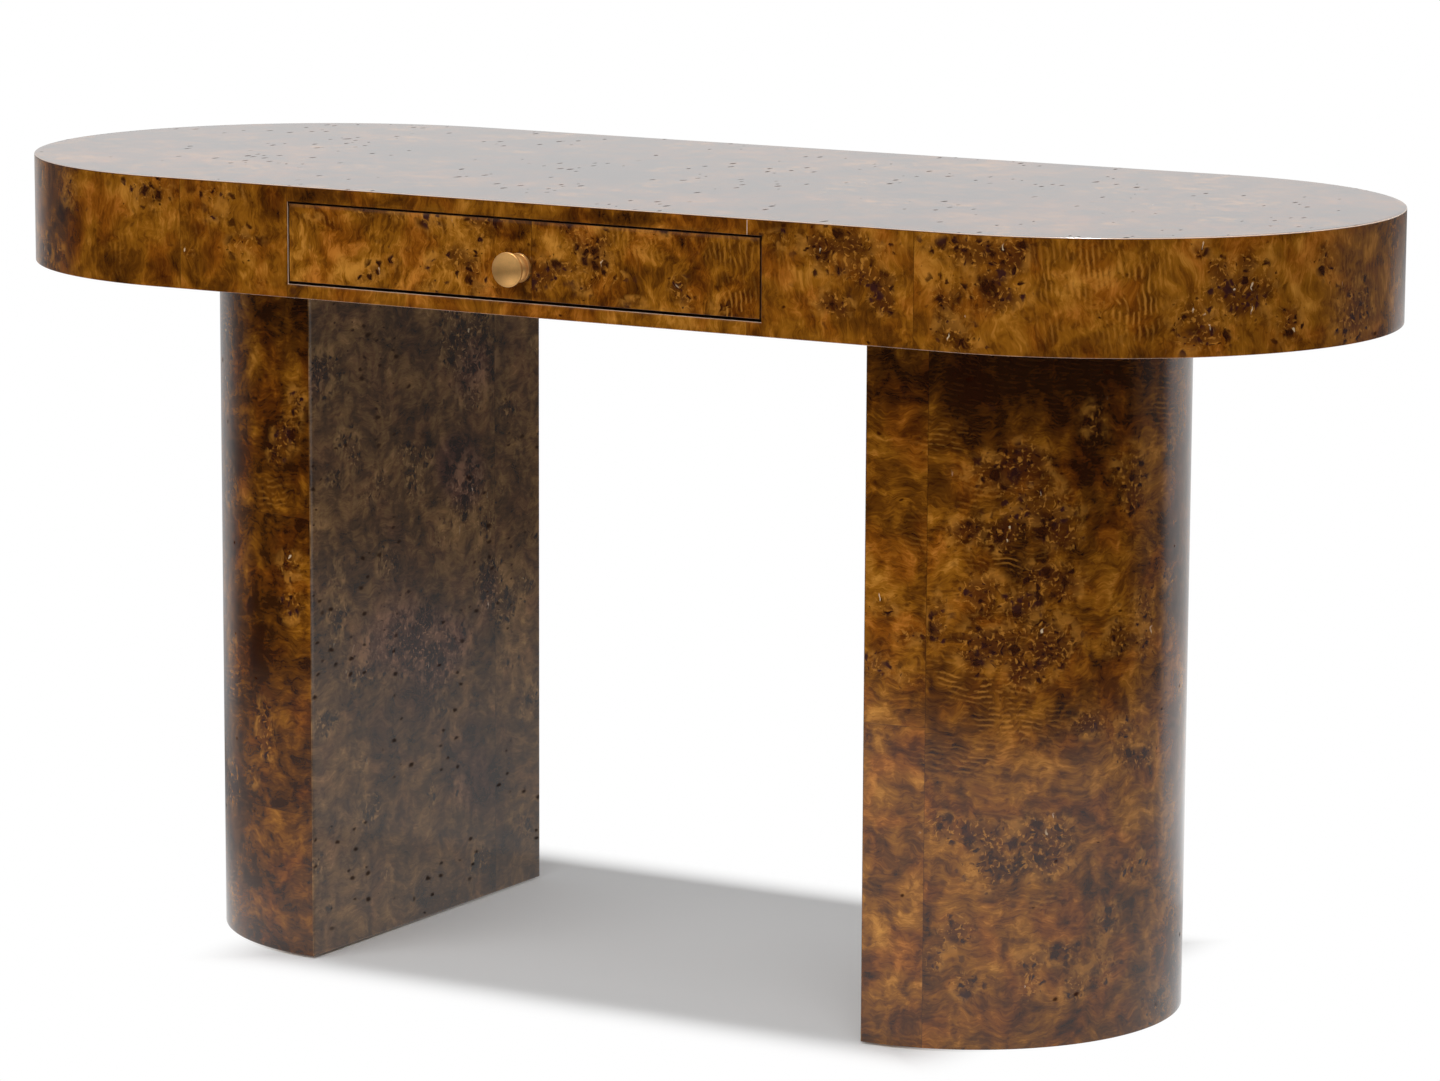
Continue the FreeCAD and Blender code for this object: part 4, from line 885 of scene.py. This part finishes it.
class Racetrack:
    """Plan of the top: two half circles joined by straight sides, read from the apron's box."""

    def __init__(self):
        low, high = map(np.array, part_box("apron_veneer"))
        self.radius = (high[1] - low[1]) / 2
        self.middle = (high[1] + low[1]) / 2
        self.straight = high[0] - self.radius
        self.half_round = self.straight * 2 + math.pi * self.radius

    def place(self, along, up, depth):
        """Point round the edge: straight, half circle and straight again either way from the front middle."""
        way = np.abs(along)
        turn = np.clip((way - self.straight) / self.radius, 0, math.pi)
        past = np.clip(way - self.straight - math.pi * self.radius, 0, None)
        reach = self.radius - depth
        x = np.sign(along) * (np.minimum(way, self.straight) + reach * np.sin(turn) - past)
        y = self.middle - reach * np.cos(turn)
        return np.stack((x, y, up), axis=-1)


class DESK_OT_worktop_veneer(bpy.types.Operator):
    """Lay the veneer of the worktop"""
    bl_idname = "desk.worktop_veneer"
    bl_label = "Worktop Veneer"
    # Step round the ends as a multiple of the mesh step.
    end_step = 1.4

    def execute(self, context):
        look = context.scene.desk_veneer
        plan = Racetrack()
        low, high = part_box("worktop_veneer")
        arris = (high[2] - low[2]) * look.arris_share
        seeds = range(look.seed, look.seed + 3)
        patches = with_thrown(((), (), ()), seeds, *TOP_SPANS, TOP_THROWS)
        # Worktop edges take a painted highlight where they face up and right, painted shade where they face
        # away.
        figure = Figure("worktop", patches, TOP_LEAVES, edge_light_share=1.0)
        seams = figure.seams(0)
        square = seams[seams < plan.straight - look.seam_width].max() + look.seam_width
        straight = figure.stations(look, 0, -square, square)
        ends = np.linspace(0, 1, round(plan.radius / look.step) + 1)[1:]
        turns = stations(-math.pi / 2, math.pi / 2, look.step / plan.radius * self.end_step,
                         seam_places((0,), look.seam_width / plan.radius))

        def ring(radius, z):
            """Grid of the plan at one radius: straight columns in the middle, stretched ones to the rim."""
            y = radius * np.sin(turns)
            rim = plan.straight + radius * np.cos(turns)
            outer = square + ends[:, None] * (rim - square)[None, :]
            x = np.concatenate((-outer[::-1], np.repeat(straight[:, None], len(turns), axis=1), outer))
            return np.stack((x, np.broadcast_to(plan.middle + y, x.shape), np.full(x.shape, z)), axis=-1)

        rings = [ring(plan.radius - arris * (1 - math.sin(turn)), high[2] - arris * (1 - math.cos(turn)))
                 for turn in ARRIS_TURNS]
        rings.append(ring(plan.radius, low[2]))
        piece = self.build(rings, figure, plan.middle)
        dress(piece, "desk", "burl_veneer", burl_material("worktop_burl", look, LEVEL), "worktop_veneer")
        return {"FINISHED"}

    @staticmethod
    def build(rings, figure, middle):
        """Closed slab: the first grid on top, the borders of all grids as its edge, the last grid below."""
        index = np.arange(rings[0][..., 0].size).reshape(rings[0].shape[:2])
        border = np.concatenate((index[:-1, 0], index[-1, :-1], index[:0:-1, -1], index[0, :0:-1]))
        top = grid_quads(index).reshape(-1, 4)
        faces = [top, top[:, ::-1] + (len(rings) - 1) * index.size]
        ahead = np.roll(border, -1)
        for level in range(len(rings) - 1):
            upper = level * index.size
            lower = upper + index.size
            faces.append(np.stack((border + upper, border + lower, ahead + lower, ahead + upper), axis=1))
        points = np.concatenate([ring.reshape(-1, 3) for ring in rings])
        edge = np.repeat(np.arange(len(rings)) > 0, index.size)
        piece, used, corners = finish_mesh("worktop", points, np.concatenate(faces))
        carry_figure(piece, used, corners, points[:, 0], points[:, 1] - middle, edge, figure)
        return piece


class DESK_OT_apron_veneer(bpy.types.Operator):
    """Wrap the veneer round the edge of the top box, open at the drawer"""
    bl_idname = "desk.apron_veneer"
    bl_label = "Apron Veneer"

    def execute(self, context):
        look = context.scene.desk_veneer
        plan = Racetrack()
        low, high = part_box("apron_veneer")
        drawer_low, drawer_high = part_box("drawer_face_veneer")
        thickness = drawer_high[1] - drawer_low[1]
        arris = thickness * look.arris_share
        rail_low, rail_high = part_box("front_left_rail")
        left = rail_high[0]
        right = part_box("front_right_rail")[0][0]
        sill = rail_low[2]
        head = rail_high[2]
        patches = (APRON_EYES, APRON_TONES, APRON_FLAMES)
        for number, span in enumerate(APRON_UNSEEN):
            seeds = [look.seed + number + seed for seed in APRON_SEEDS]
            patches = with_thrown(patches, seeds, span, APRON_RISE, APRON_THROWS)
        # Apron edges take a painted highlight where they face up and right and painted shade where they face
        # away, and an even painted highlight along the lower edge.
        figure = Figure("apron", patches, APRON_LEAVES, edge_light_share=1.0, rim=low[2] + thickness,
                        pale_seam=(PALE_SEAM * MM, head))
        along = figure.stations(look, 0, -plan.half_round, plan.half_round,
                                eased_places(left, -1, arris), eased_places(right, 1, arris))
        up = stations(low[2], high[2], look.step, eased_places(low[2], 1, arris),
                      eased_places(sill, -1, arris), eased_places(head, 1, arris))

        def depth(far, height):
            """Rounded along the lower edge and round the drawer opening."""
            beside = np.maximum(np.abs(far - (left + right) / 2) - (right - left) / 2,
                                np.abs(height - (sill + head) / 2) - (head - sill) / 2)
            distance = np.minimum(height - low[2], np.where(beside < 0, arris, beside))
            return eased_depth(distance, arris)

        middle_along = (along[1:] + along[:-1])[:, None] / 2
        middle_up = (up[1:] + up[:-1])[None, :] / 2
        opening = (middle_along > left) & (middle_along < right) & (middle_up > sill) & (middle_up < head)
        piece = veneer_sheet("apron", along, up, plan.place, depth, thickness, figure, ~opening, wraps=True)
        dress(piece, "desk", "burl_veneer", burl_material("apron_burl", look, ACROSS), "apron_veneer")
        return {"FINISHED"}


class DESK_OT_drawer_veneer(bpy.types.Operator):
    """Lay the veneer of the drawer face"""
    bl_idname = "desk.drawer_veneer"
    bl_label = "Drawer Veneer"

    def execute(self, context):
        look = context.scene.desk_veneer
        low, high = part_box("drawer_face_veneer")
        thickness = high[1] - low[1]
        arris = thickness * look.arris_share
        patches = (DRAWER_EYES, DRAWER_TONES, DRAWER_FLAMES)
        # All edges of the drawer front are painted in shade.
        figure = Figure("drawer_front", patches, DRAWER_LEAVES, edge_light_share=-1.0)
        along = figure.stations(look, 0, low[0], high[0],
                                eased_places(low[0], 1, arris), eased_places(high[0], -1, arris))
        up = stations(low[2], high[2], look.step,
                      eased_places(low[2], 1, arris), eased_places(high[2], -1, arris))

        def place(far, height, depth):
            """Flat face looking forward."""
            return np.stack((far, low[1] + depth, height), axis=-1)

        def depth(far, height):
            """Rounded along all four edges."""
            beside = np.minimum(far - low[0], high[0] - far)
            level = np.minimum(height - low[2], high[2] - height)
            return eased_depth(np.minimum(beside, level), arris)

        piece = veneer_sheet("drawer_front", along, up, place, depth, thickness, figure)
        dress(piece, "drawer", "burl_veneer", burl_material("drawer_burl", look, FRONT), "drawer_face_veneer")
        return {"FINISHED"}


class DESK_OT_leg_round_veneers(bpy.types.Operator):
    """Bend the veneers round the two legs"""
    bl_idname = "desk.leg_round_veneers"
    bl_label = "Leg Round Veneers"

    def execute(self, context):
        look = context.scene.desk_veneer
        material = burl_material("leg_burl", look, UPRIGHT)
        for number, (side, sign) in enumerate(SIDES):
            self.bend(look, side, sign, look.seed + LEG_SEED + SIDE_SEED * number, material)
        return {"FINISHED"}

    @staticmethod
    def bend(look, side, sign, seed, material):
        """Half-round sheet: radius times (sine, minus cosine) of the turn from the front corner."""
        name = f"{side}_leg_round"
        flat_low, flat_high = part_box(f"{side}_leg_flat_veneer")
        low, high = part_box(f"{side}_leg_curved_veneer")
        radius = (high[1] - low[1]) / 2
        middle = (high[1] + low[1]) / 2
        girth = math.pi * radius
        axis = flat_high[0] if sign < 0 else flat_low[0]
        thickness = flat_high[0] - flat_low[0]
        arris = thickness * look.arris_share
        span = (LEG_SEEN[side], girth / MM)
        count = round((span[1] - span[0]) * KNOTS_ROUND_LEG)
        throws = ((count, (10, 24), (.3, 1)), (count // 2, (25, 70), (-.45, .4)),
                  (count // 3, (12, 34), (.3, .9)))
        patches = with_thrown(LEG_FIGURES[side], range(seed, seed + 3), span, LEG_RISE, throws)
        figure = Figure(name, patches, LEG_LEAVES[side])
        along = figure.stations(look, 0, thickness, girth - thickness)
        up = figure.stations(look, 2, low[2], high[2], eased_places(low[2], 1, arris))

        def place(far, height, depth):
            """Point round the half circle, out from the flat face."""
            turn = far / radius
            reach = radius - depth
            x = axis + sign * reach * np.sin(turn)
            y = middle - reach * np.cos(turn)
            return np.stack((x, y, height), axis=-1)

        def depth(far, height):
            """Rounded along the foot."""
            return eased_depth(height - low[2], arris)

        piece = veneer_sheet(name, along, up, place, depth, thickness, figure)
        dress(piece, "desk", "burl_veneer", material, f"{side}_leg_curved_veneer")


class DESK_OT_leg_flat_veneers(bpy.types.Operator):
    """Lay the veneers of the flat faces inside the kneehole"""
    bl_idname = "desk.leg_flat_veneers"
    bl_label = "Leg Flat Veneers"

    def execute(self, context):
        look = context.scene.desk_veneer
        material = burl_material("leg_inside_burl", look, INSIDE)
        for number, (side, sign) in enumerate(SIDES):
            self.lay(look, side, sign, look.seed + FLAT_SEED + SIDE_SEED * number, material)
        return {"FINISHED"}

    @staticmethod
    def lay(look, side, sign, seed, material):
        """Flat sheet across the half circle, with rounded upright edges and foot."""
        name = f"{side}_leg_flat"
        low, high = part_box(f"{side}_leg_flat_veneer")
        thickness = high[0] - low[0]
        arris = thickness * look.arris_share
        half = (high[1] - low[1]) / 2
        middle = (high[1] + low[1]) / 2
        face = high[0] if sign < 0 else low[0]
        knots_and_tones = with_thrown(FLAT_FIGURES[side], (seed, seed + 1), FLAT_SPAN, LEG_RISE, FLAT_THROWS)
        figure = Figure(name, (*knots_and_tones, ()), FLAT_LEAVES)
        along = figure.stations(look, 0, -half, half,
                                eased_places(-half, 1, arris), eased_places(half, -1, arris))
        up = stations(low[2], high[2], look.step, eased_places(low[2], 1, arris))

        def place(far, height, depth):
            """Flat face looking into the kneehole."""
            return np.stack((face + sign * depth, middle + far, height), axis=-1)

        def depth(far, height):
            """Rounded along both upright edges and the foot."""
            return eased_depth(np.minimum(half - np.abs(far), height - low[2]), arris)

        piece = veneer_sheet(name, along, up, place, depth, thickness, figure)
        dress(piece, "desk", "burl_veneer", material, f"{side}_leg_flat_veneer")


def mottle_group():
    """Soft mottling of a plain finish: broad clouds and fine speckle, each about a half."""
    nodes, given = node_group("mottle", {"Place": VECTOR, "Broad": VALUE, "Fine": VALUE},
                              {"Cloud": VALUE, "Speckle": VALUE})
    nodes.add("NodeGroupOutput", {
        "Cloud": nodes.noise(given["Place"], given["Broad"], 3.0, 0.55, dimensions="3D"),
        "Speckle": nodes.noise(given["Place"], given["Fine"], 2.0, 0.6, dimensions="3D"),
    })
    return nodes.tree


EVEN = (1.0, 1.0, 1.0)
BUMPS = 0.1 * MM
FINE_BUMPS = 0.02 * MM
POLISHED_BUMPS = 0.005 * MM
BUMP_SHARE = 0.3
ROUGHNESS_SPREAD = 0.06


def plain_material(name, shade, spread, roughness, grains, metallic=0.0, stretch=EVEN, bumps=BUMPS):
    """Procedural finish on object coordinates: a shade that clouds and speckles by the given spread.

    The grains are the broad clouds and the fine specks to the metre, drawn out by the stretch.
    """
    group = bpy.data.node_groups.get("mottle") or mottle_group()
    material, nodes = new_material(name)
    where = nodes.out("ShaderNodeTexCoord", output="Object")
    drawn = nodes.out("ShaderNodeMapping", {"Vector": where, "Scale": stretch})
    mottle = nodes.outs("ShaderNodeGroup", {"Place": drawn, "Broad": grains[0], "Fine": grains[1]},
                        node_tree=group)
    both = mottle["Cloud"] * 0.5 + mottle["Speckle"] * 0.5
    shades = [[min(1.0, part * (1 + way * spread)) for part in shade] for way in (-1, 0, 1)]
    least = max(0.02, roughness - ROUGHNESS_SPREAD)
    relief = {"Strength": BUMP_SHARE, "Distance": bumps, "Height": mottle["Speckle"]}
    nodes.show(nodes.out("ShaderNodeBsdfPrincipled", {
        "Base Color": nodes.ramp(both, list(zip((0.34, 0.5, 0.66), shades))),
        "Roughness": nodes.smooth(mottle["Speckle"], 0.3, 0.7, least, roughness + ROUGHNESS_SPREAD),
        "Metallic": metallic,
        "Normal": nodes.out("ShaderNodeBump", relief),
    }))
    return material


class DESK_OT_drawer_knob(bpy.types.Operator):
    """Turn the brass knob of the drawer"""
    bl_idname = "desk.drawer_knob"
    bl_label = "Drawer Knob"
    # Roundings and bevel as shares of the rim's or foot's height.
    rim_rounding = 0.36
    foot_rounding = 0.35
    foot_bevel = 0.1
    # The foot's base as a share of its radius, and the neck's hollow as a share of its room.
    foot_base = 0.98
    cove_share = 0.98

    def execute(self, context):
        look = context.scene.desk_knob
        low, high = map(np.array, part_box("knob"))
        radius, out = self.profile(look, (high[0] - low[0]) / 2, high[1] - low[1])
        across, up, index, ahead = turned(radius, look.sides)
        axis = (low + high) / 2
        x = axis[0] + across
        z = axis[2] + up
        y = np.broadcast_to(high[1] - out[:, None], x.shape)
        poles = np.array(((axis[0], high[1], axis[2]), (axis[0], low[1], axis[2])))
        points = np.concatenate((np.stack((x, y, z), axis=-1).reshape(-1, 3), poles))
        quads = np.stack((index[:-1], ahead[:-1], ahead[1:], index[1:]), axis=-1).reshape(-1, 4)
        foot = np.stack((ahead[0], index[0], np.full(look.sides, x.size)), axis=1)
        tip = np.stack((index[-1], ahead[-1], np.full(look.sides, x.size + 1)), axis=1)
        piece, _, _ = finish_mesh("drawer_knob", points, quads, np.concatenate((foot, tip)))
        material = plain_material("satin_brass", look.brass, 0.1, look.roughness, (90.0, 900.0), 0.8,
                                  bumps=FINE_BUMPS)
        dress(piece, "drawer", "knob_brass", material, "knob")
        return {"FINISHED"}

    @classmethod
    def profile(cls, look, head, reach):
        """Radius and distance out along the outline: foot, hollowed neck, rounded rim and domed crown."""
        foot = head * look.foot_share
        neck = head * look.neck_share
        foot_top = reach * look.foot_height_share
        crown = reach * look.crown_share
        rim_low = reach - crown - reach * look.rim_share
        rim_high = reach - crown
        edge = reach * look.rim_share * cls.rim_rounding
        cove = (rim_low - foot_top) / 2 * cls.cove_share
        foot_edge = foot_top * cls.foot_rounding
        quarter = np.linspace(0, math.pi / 2, 9)
        opening = 1 - np.cos(quarter)
        closing = 1 - np.sin(quarter)
        dome = np.linspace(1, 0, 14)[1:-1]
        parts = (
            (np.array((foot * cls.foot_base, foot)), np.array((0, foot_top * cls.foot_bevel))),
            (foot - foot_edge * opening, foot_top - foot_edge * closing),
            (neck + cove * closing, foot_top + cove * opening),
            (neck + cove * opening, rim_low - cove * closing),
            (head - edge * closing, rim_low + edge * opening),
            (head - edge * opening, rim_high - edge * closing),
            ((head - edge) * dome, rim_high + crown * (1 - dome ** 2)),
        )
        return np.concatenate([part[0] for part in parts]), np.concatenate([part[1] for part in parts])


def paint(node, material):
    """Put one material on a CAD node."""
    mesh = frame["nodes"][node].data
    mesh.materials.clear()
    mesh.materials.append(material)


def paint_nodes(materials):
    """Put each material on the CAD nodes of its slot."""
    for part in frame["record"]["subparts"]:
        if part["material_slot"] in materials:
            paint(part["node"], materials[part["material_slot"]])


class DESK_OT_board_finishes(bpy.types.Operator):
    """Give the boards behind the veneers their finishes"""
    bl_idname = "desk.board_finishes"
    bl_label = "Board Finishes"

    def execute(self, context):
        look = context.scene.desk_boards
        birch = (look.birch, 0.2, 0.42, (70.0, 460.0))
        materials = {
            "board_core": plain_material("fibreboard", look.fibreboard, 0.22, 0.75, (30.0, 700.0)),
            "sealed_board": plain_material("sealed_fibreboard", look.sealed, 0.25, 0.5, (18.0, 420.0)),
            "bent_ply": plain_material("bent_plywood", look.bent_ply, 0.2, 0.6, (60.0, 420.0),
                                       stretch=(1.0, 1.0, 0.08)),
            "drawer_birch": plain_material("birch_lengthwise", *birch, stretch=(1.0, 0.06, 1.0)),
        }
        crosswise = plain_material("birch_crosswise", *birch, stretch=(0.06, 1.0, 1.0))
        paint_nodes(materials)
        for node in ("drawer_bottom", "drawer_back", "drawer_sub_front"):
            paint(node, crosswise)
        # The drawer face's core and the front rails show only in the gap round the drawer; the dark sealer on
        # them is painted shade in that gap.
        for node in ("drawer_face", "front_left_rail", "front_right_rail"):
            paint(node, materials["sealed_board"])
        return {"FINISHED"}


class DESK_OT_hardware_finishes(bpy.types.Operator):
    """Give the slides, screws, bolts, stops and glides their finishes"""
    bl_idname = "desk.hardware_finishes"
    bl_label = "Hardware Finishes"

    def execute(self, context):
        look = context.scene.desk_boards
        paint_nodes({
            "slide_steel": plain_material("zinc_steel", look.steel, 0.12, 0.34, (120.0, 900.0), 1.0,
                                          stretch=(1.0, 0.05, 1.0), bumps=FINE_BUMPS),
            "ball_steel": plain_material("bearing_steel", look.ball, 0.05, 0.14, (200.0, 900.0), 1.0,
                                         bumps=POLISHED_BUMPS),
            "fastener_steel": plain_material("zinc_fastener", look.steel, 0.15, 0.38, (160.0, 900.0), 1.0,
                                             bumps=FINE_BUMPS),
            "bumper_rubber": plain_material("stop_rubber", look.rubber, 0.3, 0.7, (200.0, 900.0)),
            "glide_nylon": plain_material("glide_nylon", look.nylon, 0.08, 0.5, (80.0, 700.0)),
        })
        return {"FINISHED"}


def floor_paint(look):
    """Pale floor that the camera and gloss see as bright, but for a soft shadow between the legs.

    What gloss sees of it dims away from a lit pool, and from below it is clear.
    """
    material, nodes = new_material("floor_paint")
    where = nodes.out("ShaderNodeTexCoord", output="Object")
    across, deep, _ = nodes.split(where)
    shade = nodes.blend(nodes.noise(where, 3.0), [part * 0.99 for part in look.floor], look.floor)
    paint_shader = nodes.out("ShaderNodeBsdfPrincipled",
                             {"Base Color": shade, "Roughness": 0.9, "Specular IOR Level": 0.0})
    soft = look.shadow_soft
    clear = nodes.largest(
        nodes.smooth(nodes.maths("ABSOLUTE", across), look.shadow_half, look.shadow_half + soft),
        nodes.smooth(deep, look.shadow_front, look.shadow_front - soft),
        nodes.smooth(deep, look.shadow_back, look.shadow_back + soft),
        nodes.smooth(deep, look.shadow_front, look.shadow_back, 0.0, look.shadow_lift))
    path = nodes.outs("ShaderNodeLightPath")
    gentle = clear * (1.0 - look.shadow_gloss) + look.shadow_gloss
    seen = nodes.largest(clear * path["Is Camera Ray"], gentle * path["Is Glossy Ray"])
    apart = nodes.vector("DISTANCE", where, look.pool, output="Value")
    mirrored = (nodes.smooth(apart, look.pool_near, look.pool_far, 1.0, look.pool_dim)
                * nodes.smooth(deep, 0.0, 0.5, 1.0, look.pool_back)
                * nodes.smooth(across, -0.9, -0.3, look.pool_left, 1.0))
    glow = nodes.out("ShaderNodeEmission", {"Strength": nodes.largest(mirrored, path["Is Camera Ray"])})
    upper = nodes.out("ShaderNodeMixShader", {0: seen, 1: paint_shader, 2: glow})
    under = nodes.out("ShaderNodeNewGeometry", output="Backfacing")
    nothing = nodes.out("ShaderNodeBsdfTransparent")
    nodes.show(nodes.out("ShaderNodeMixShader", {0: under, 1: upper, 2: nothing}))
    return material


def sun(name, energy, height, side, spread):
    """Parallel light from the front at that height, turned to the right by side, as soft as its spread."""
    data = bpy.data.lights.new(name, "SUN")
    data.energy = energy
    data.angle = spread
    source = Vector((math.cos(height) * math.sin(side), -math.cos(height) * math.cos(side), math.sin(height)))
    lamp = add_object(name, data)
    lamp.rotation_euler = source.to_track_quat("Z", "Y").to_euler()
    return lamp


def strip(name, place, turn, width, height, brightness, fade, top_fade):
    """Upright softbox that only gloss sees, facing forward or turned from there by some degrees.

    Its power is pi times its area times its brightness. Its edges fade over a share of its width and height,
    the top edge over a share of its own.
    """
    data = bpy.data.lights.new(name, "AREA")
    data.shape = "RECTANGLE"
    data.size = width
    data.size_y = height
    data.energy = math.pi * width * height * brightness
    data.use_nodes = True
    nodes = Nodes(data.node_tree)
    across, down, _ = nodes.split(nodes.out("ShaderNodeNewGeometry", output="Parametric"))
    level = (nodes.smooth(across, 0.0, fade) * nodes.smooth(across, 1.0, 1.0 - fade)
             * nodes.smooth(down, 0.0, top_fade) * nodes.smooth(down, 1.0, 1.0 - fade))
    nodes.show(nodes.out("ShaderNodeEmission", {"Strength": level}), "ShaderNodeOutputLight")
    lamp = add_object(name, data)
    lamp.location = place
    lamp.rotation_euler = (math.radians(-90), 0, math.radians(turn))
    lamp.visible_camera = False
    lamp.visible_diffuse = False


class DESK_OT_studio(bpy.types.Operator):
    """Set up the floor, the lights, the sky and the camera"""
    bl_idname = "desk.studio"
    bl_label = "Studio"
    # Steps round the floor, and its rings as shares of its radius.
    floor_sides = 96
    floor_rings = np.linspace(0.05, 1, 24)

    def execute(self, context):
        look = context.scene.desk_stage
        self.lay_floor(look)
        self.light_room(context.scene, look)
        sun("overhead_light", look.overhead, look.overhead_height, 0, look.overhead_spread)
        front = sun("front_light", look.fill, look.fill_height, look.fill_side, look.fill_spread)
        front.visible_glossy = False
        strip("right_strip", look.right_strip_place, 0, look.right_strip_width, look.strip_height,
              look.right_strip, look.strip_fade, look.strip_fade)
        strip("left_strip", look.left_strip_place, 90, look.left_strip_width, look.strip_height,
              look.left_strip, look.strip_fade, look.left_strip_fade)
        self.set_camera(context.scene, look)
        context.scene.view_settings.view_transform = "Standard"
        return {"FINISHED"}

    @classmethod
    def lay_floor(cls, look):
        """Round floor: rings of growing radius, with its middle a little behind the desk."""
        x, y, index, ahead = turned(cls.floor_rings * look.floor_radius, cls.floor_sides)
        points = np.stack((x, y + look.floor_back, np.zeros_like(x)), axis=-1).reshape(-1, 3)
        points = np.concatenate((points, ((0, look.floor_back, 0),)))
        quads = np.stack((index[:-1], index[1:], ahead[1:], ahead[:-1]), axis=-1).reshape(-1, 4)
        hub = np.stack((index[0], ahead[0], np.full(cls.floor_sides, x.size)), axis=1)
        floor, _, _ = finish_mesh("studio_floor", points, quads, hub)
        floor.data.materials.append(floor_paint(look))

    @staticmethod
    def light_room(scene, look):
        """Sky: white to the camera; to gloss, a pale backdrop behind the desk and a dim room before it."""
        world = bpy.data.worlds.new("studio_sky")
        world.use_nodes = True
        nodes = Nodes(world.node_tree)
        across, deep, high = nodes.split(nodes.out("ShaderNodeTexCoord", output="Generated"))
        behind = nodes.smooth(deep + across * -0.35, 0.1, 0.45)
        above = nodes.smooth(high, -0.04, 0.04)
        low_part = behind * look.backdrop_low + look.room_low
        high_part = behind * look.backdrop_high + look.room_high
        gloss = low_part * (1.0 - above) + high_part * above
        path = nodes.outs("ShaderNodeLightPath")
        mirrored = nodes.largest(path["Is Glossy Ray"], path["Is Transmission Ray"])
        plain = mirrored * gloss + (1.0 - mirrored) * look.room
        camera = path["Is Camera Ray"]
        level = camera + (1.0 - camera) * plain
        sky = nodes.out("ShaderNodeBackground", {"Color": (1.0, 1.0, 1.0), "Strength": level})
        nodes.show(sky, "ShaderNodeOutputWorld")
        scene.world = world

    @staticmethod
    def set_camera(scene, look):
        """Camera at the photograph's angle: turned left by the heading, tilted down, leaning by the roll."""
        ahead = Vector((-math.sin(look.heading), math.cos(look.heading), 0))
        right = Vector((math.cos(look.heading), math.sin(look.heading), 0))
        up = Vector((0, 0, 1))
        view = ahead * math.cos(look.pitch) - up * math.sin(look.pitch)
        top = up * math.cos(look.pitch) + ahead * math.sin(look.pitch)
        across = right * math.cos(look.roll) + top * math.sin(look.roll)
        lean = top * math.cos(look.roll) - right * math.sin(look.roll)
        turn = Matrix((across, lean, -view)).transposed().to_4x4()
        data = bpy.data.cameras.new("desk_camera")
        data.lens = look.lens
        camera = add_object("desk_camera", data)
        camera.matrix_world = Matrix.Translation(look.camera) @ turn
        scene.camera = camera


class DESK_PT_finishes(bpy.types.Panel):
    """Sidebar panel with the desk's finishes"""
    bl_idname = "DESK_PT_finishes"
    bl_label = "Racetrack Desk"
    bl_space_type = "VIEW_3D"
    bl_region_type = "UI"
    bl_category = "Desk"

    def draw(self, context):
        for title, group in SETTINGS.items():
            box = self.layout.box()
            settings = getattr(context.scene, title)
            for name in group.__annotations__:
                box.prop(settings, name)
        for operator in OPERATORS:
            self.layout.operator(operator.bl_idname)


SETTINGS = {
    "desk_veneer": DeskVeneerSettings,
    "desk_knob": DeskKnobSettings,
    "desk_boards": DeskBoardSettings,
    "desk_stage": DeskStageSettings,
}
OPERATORS = (
    DESK_OT_worktop_veneer,
    DESK_OT_apron_veneer,
    DESK_OT_drawer_veneer,
    DESK_OT_leg_round_veneers,
    DESK_OT_leg_flat_veneers,
    DESK_OT_drawer_knob,
    DESK_OT_board_finishes,
    DESK_OT_hardware_finishes,
    DESK_OT_studio,
)
CLASSES = (*SETTINGS.values(), *OPERATORS, DESK_PT_finishes)


def register():
    for kind in CLASSES:
        bpy.utils.register_class(kind)
    for title, group in SETTINGS.items():
        setattr(bpy.types.Scene, title, PointerProperty(type=group))


def unregister():
    for title in SETTINGS:
        delattr(bpy.types.Scene, title)
    for kind in reversed(CLASSES):
        bpy.utils.unregister_class(kind)


def main():
    register()
    bpy.ops.desk.worktop_veneer()
    bpy.ops.desk.apron_veneer()
    bpy.ops.desk.drawer_veneer()
    bpy.ops.desk.leg_round_veneers()
    bpy.ops.desk.leg_flat_veneers()
    bpy.ops.desk.drawer_knob()
    bpy.ops.desk.board_finishes()
    bpy.ops.desk.hardware_finishes()
    bpy.ops.desk.studio()


if __name__ == "__main__":
    main()
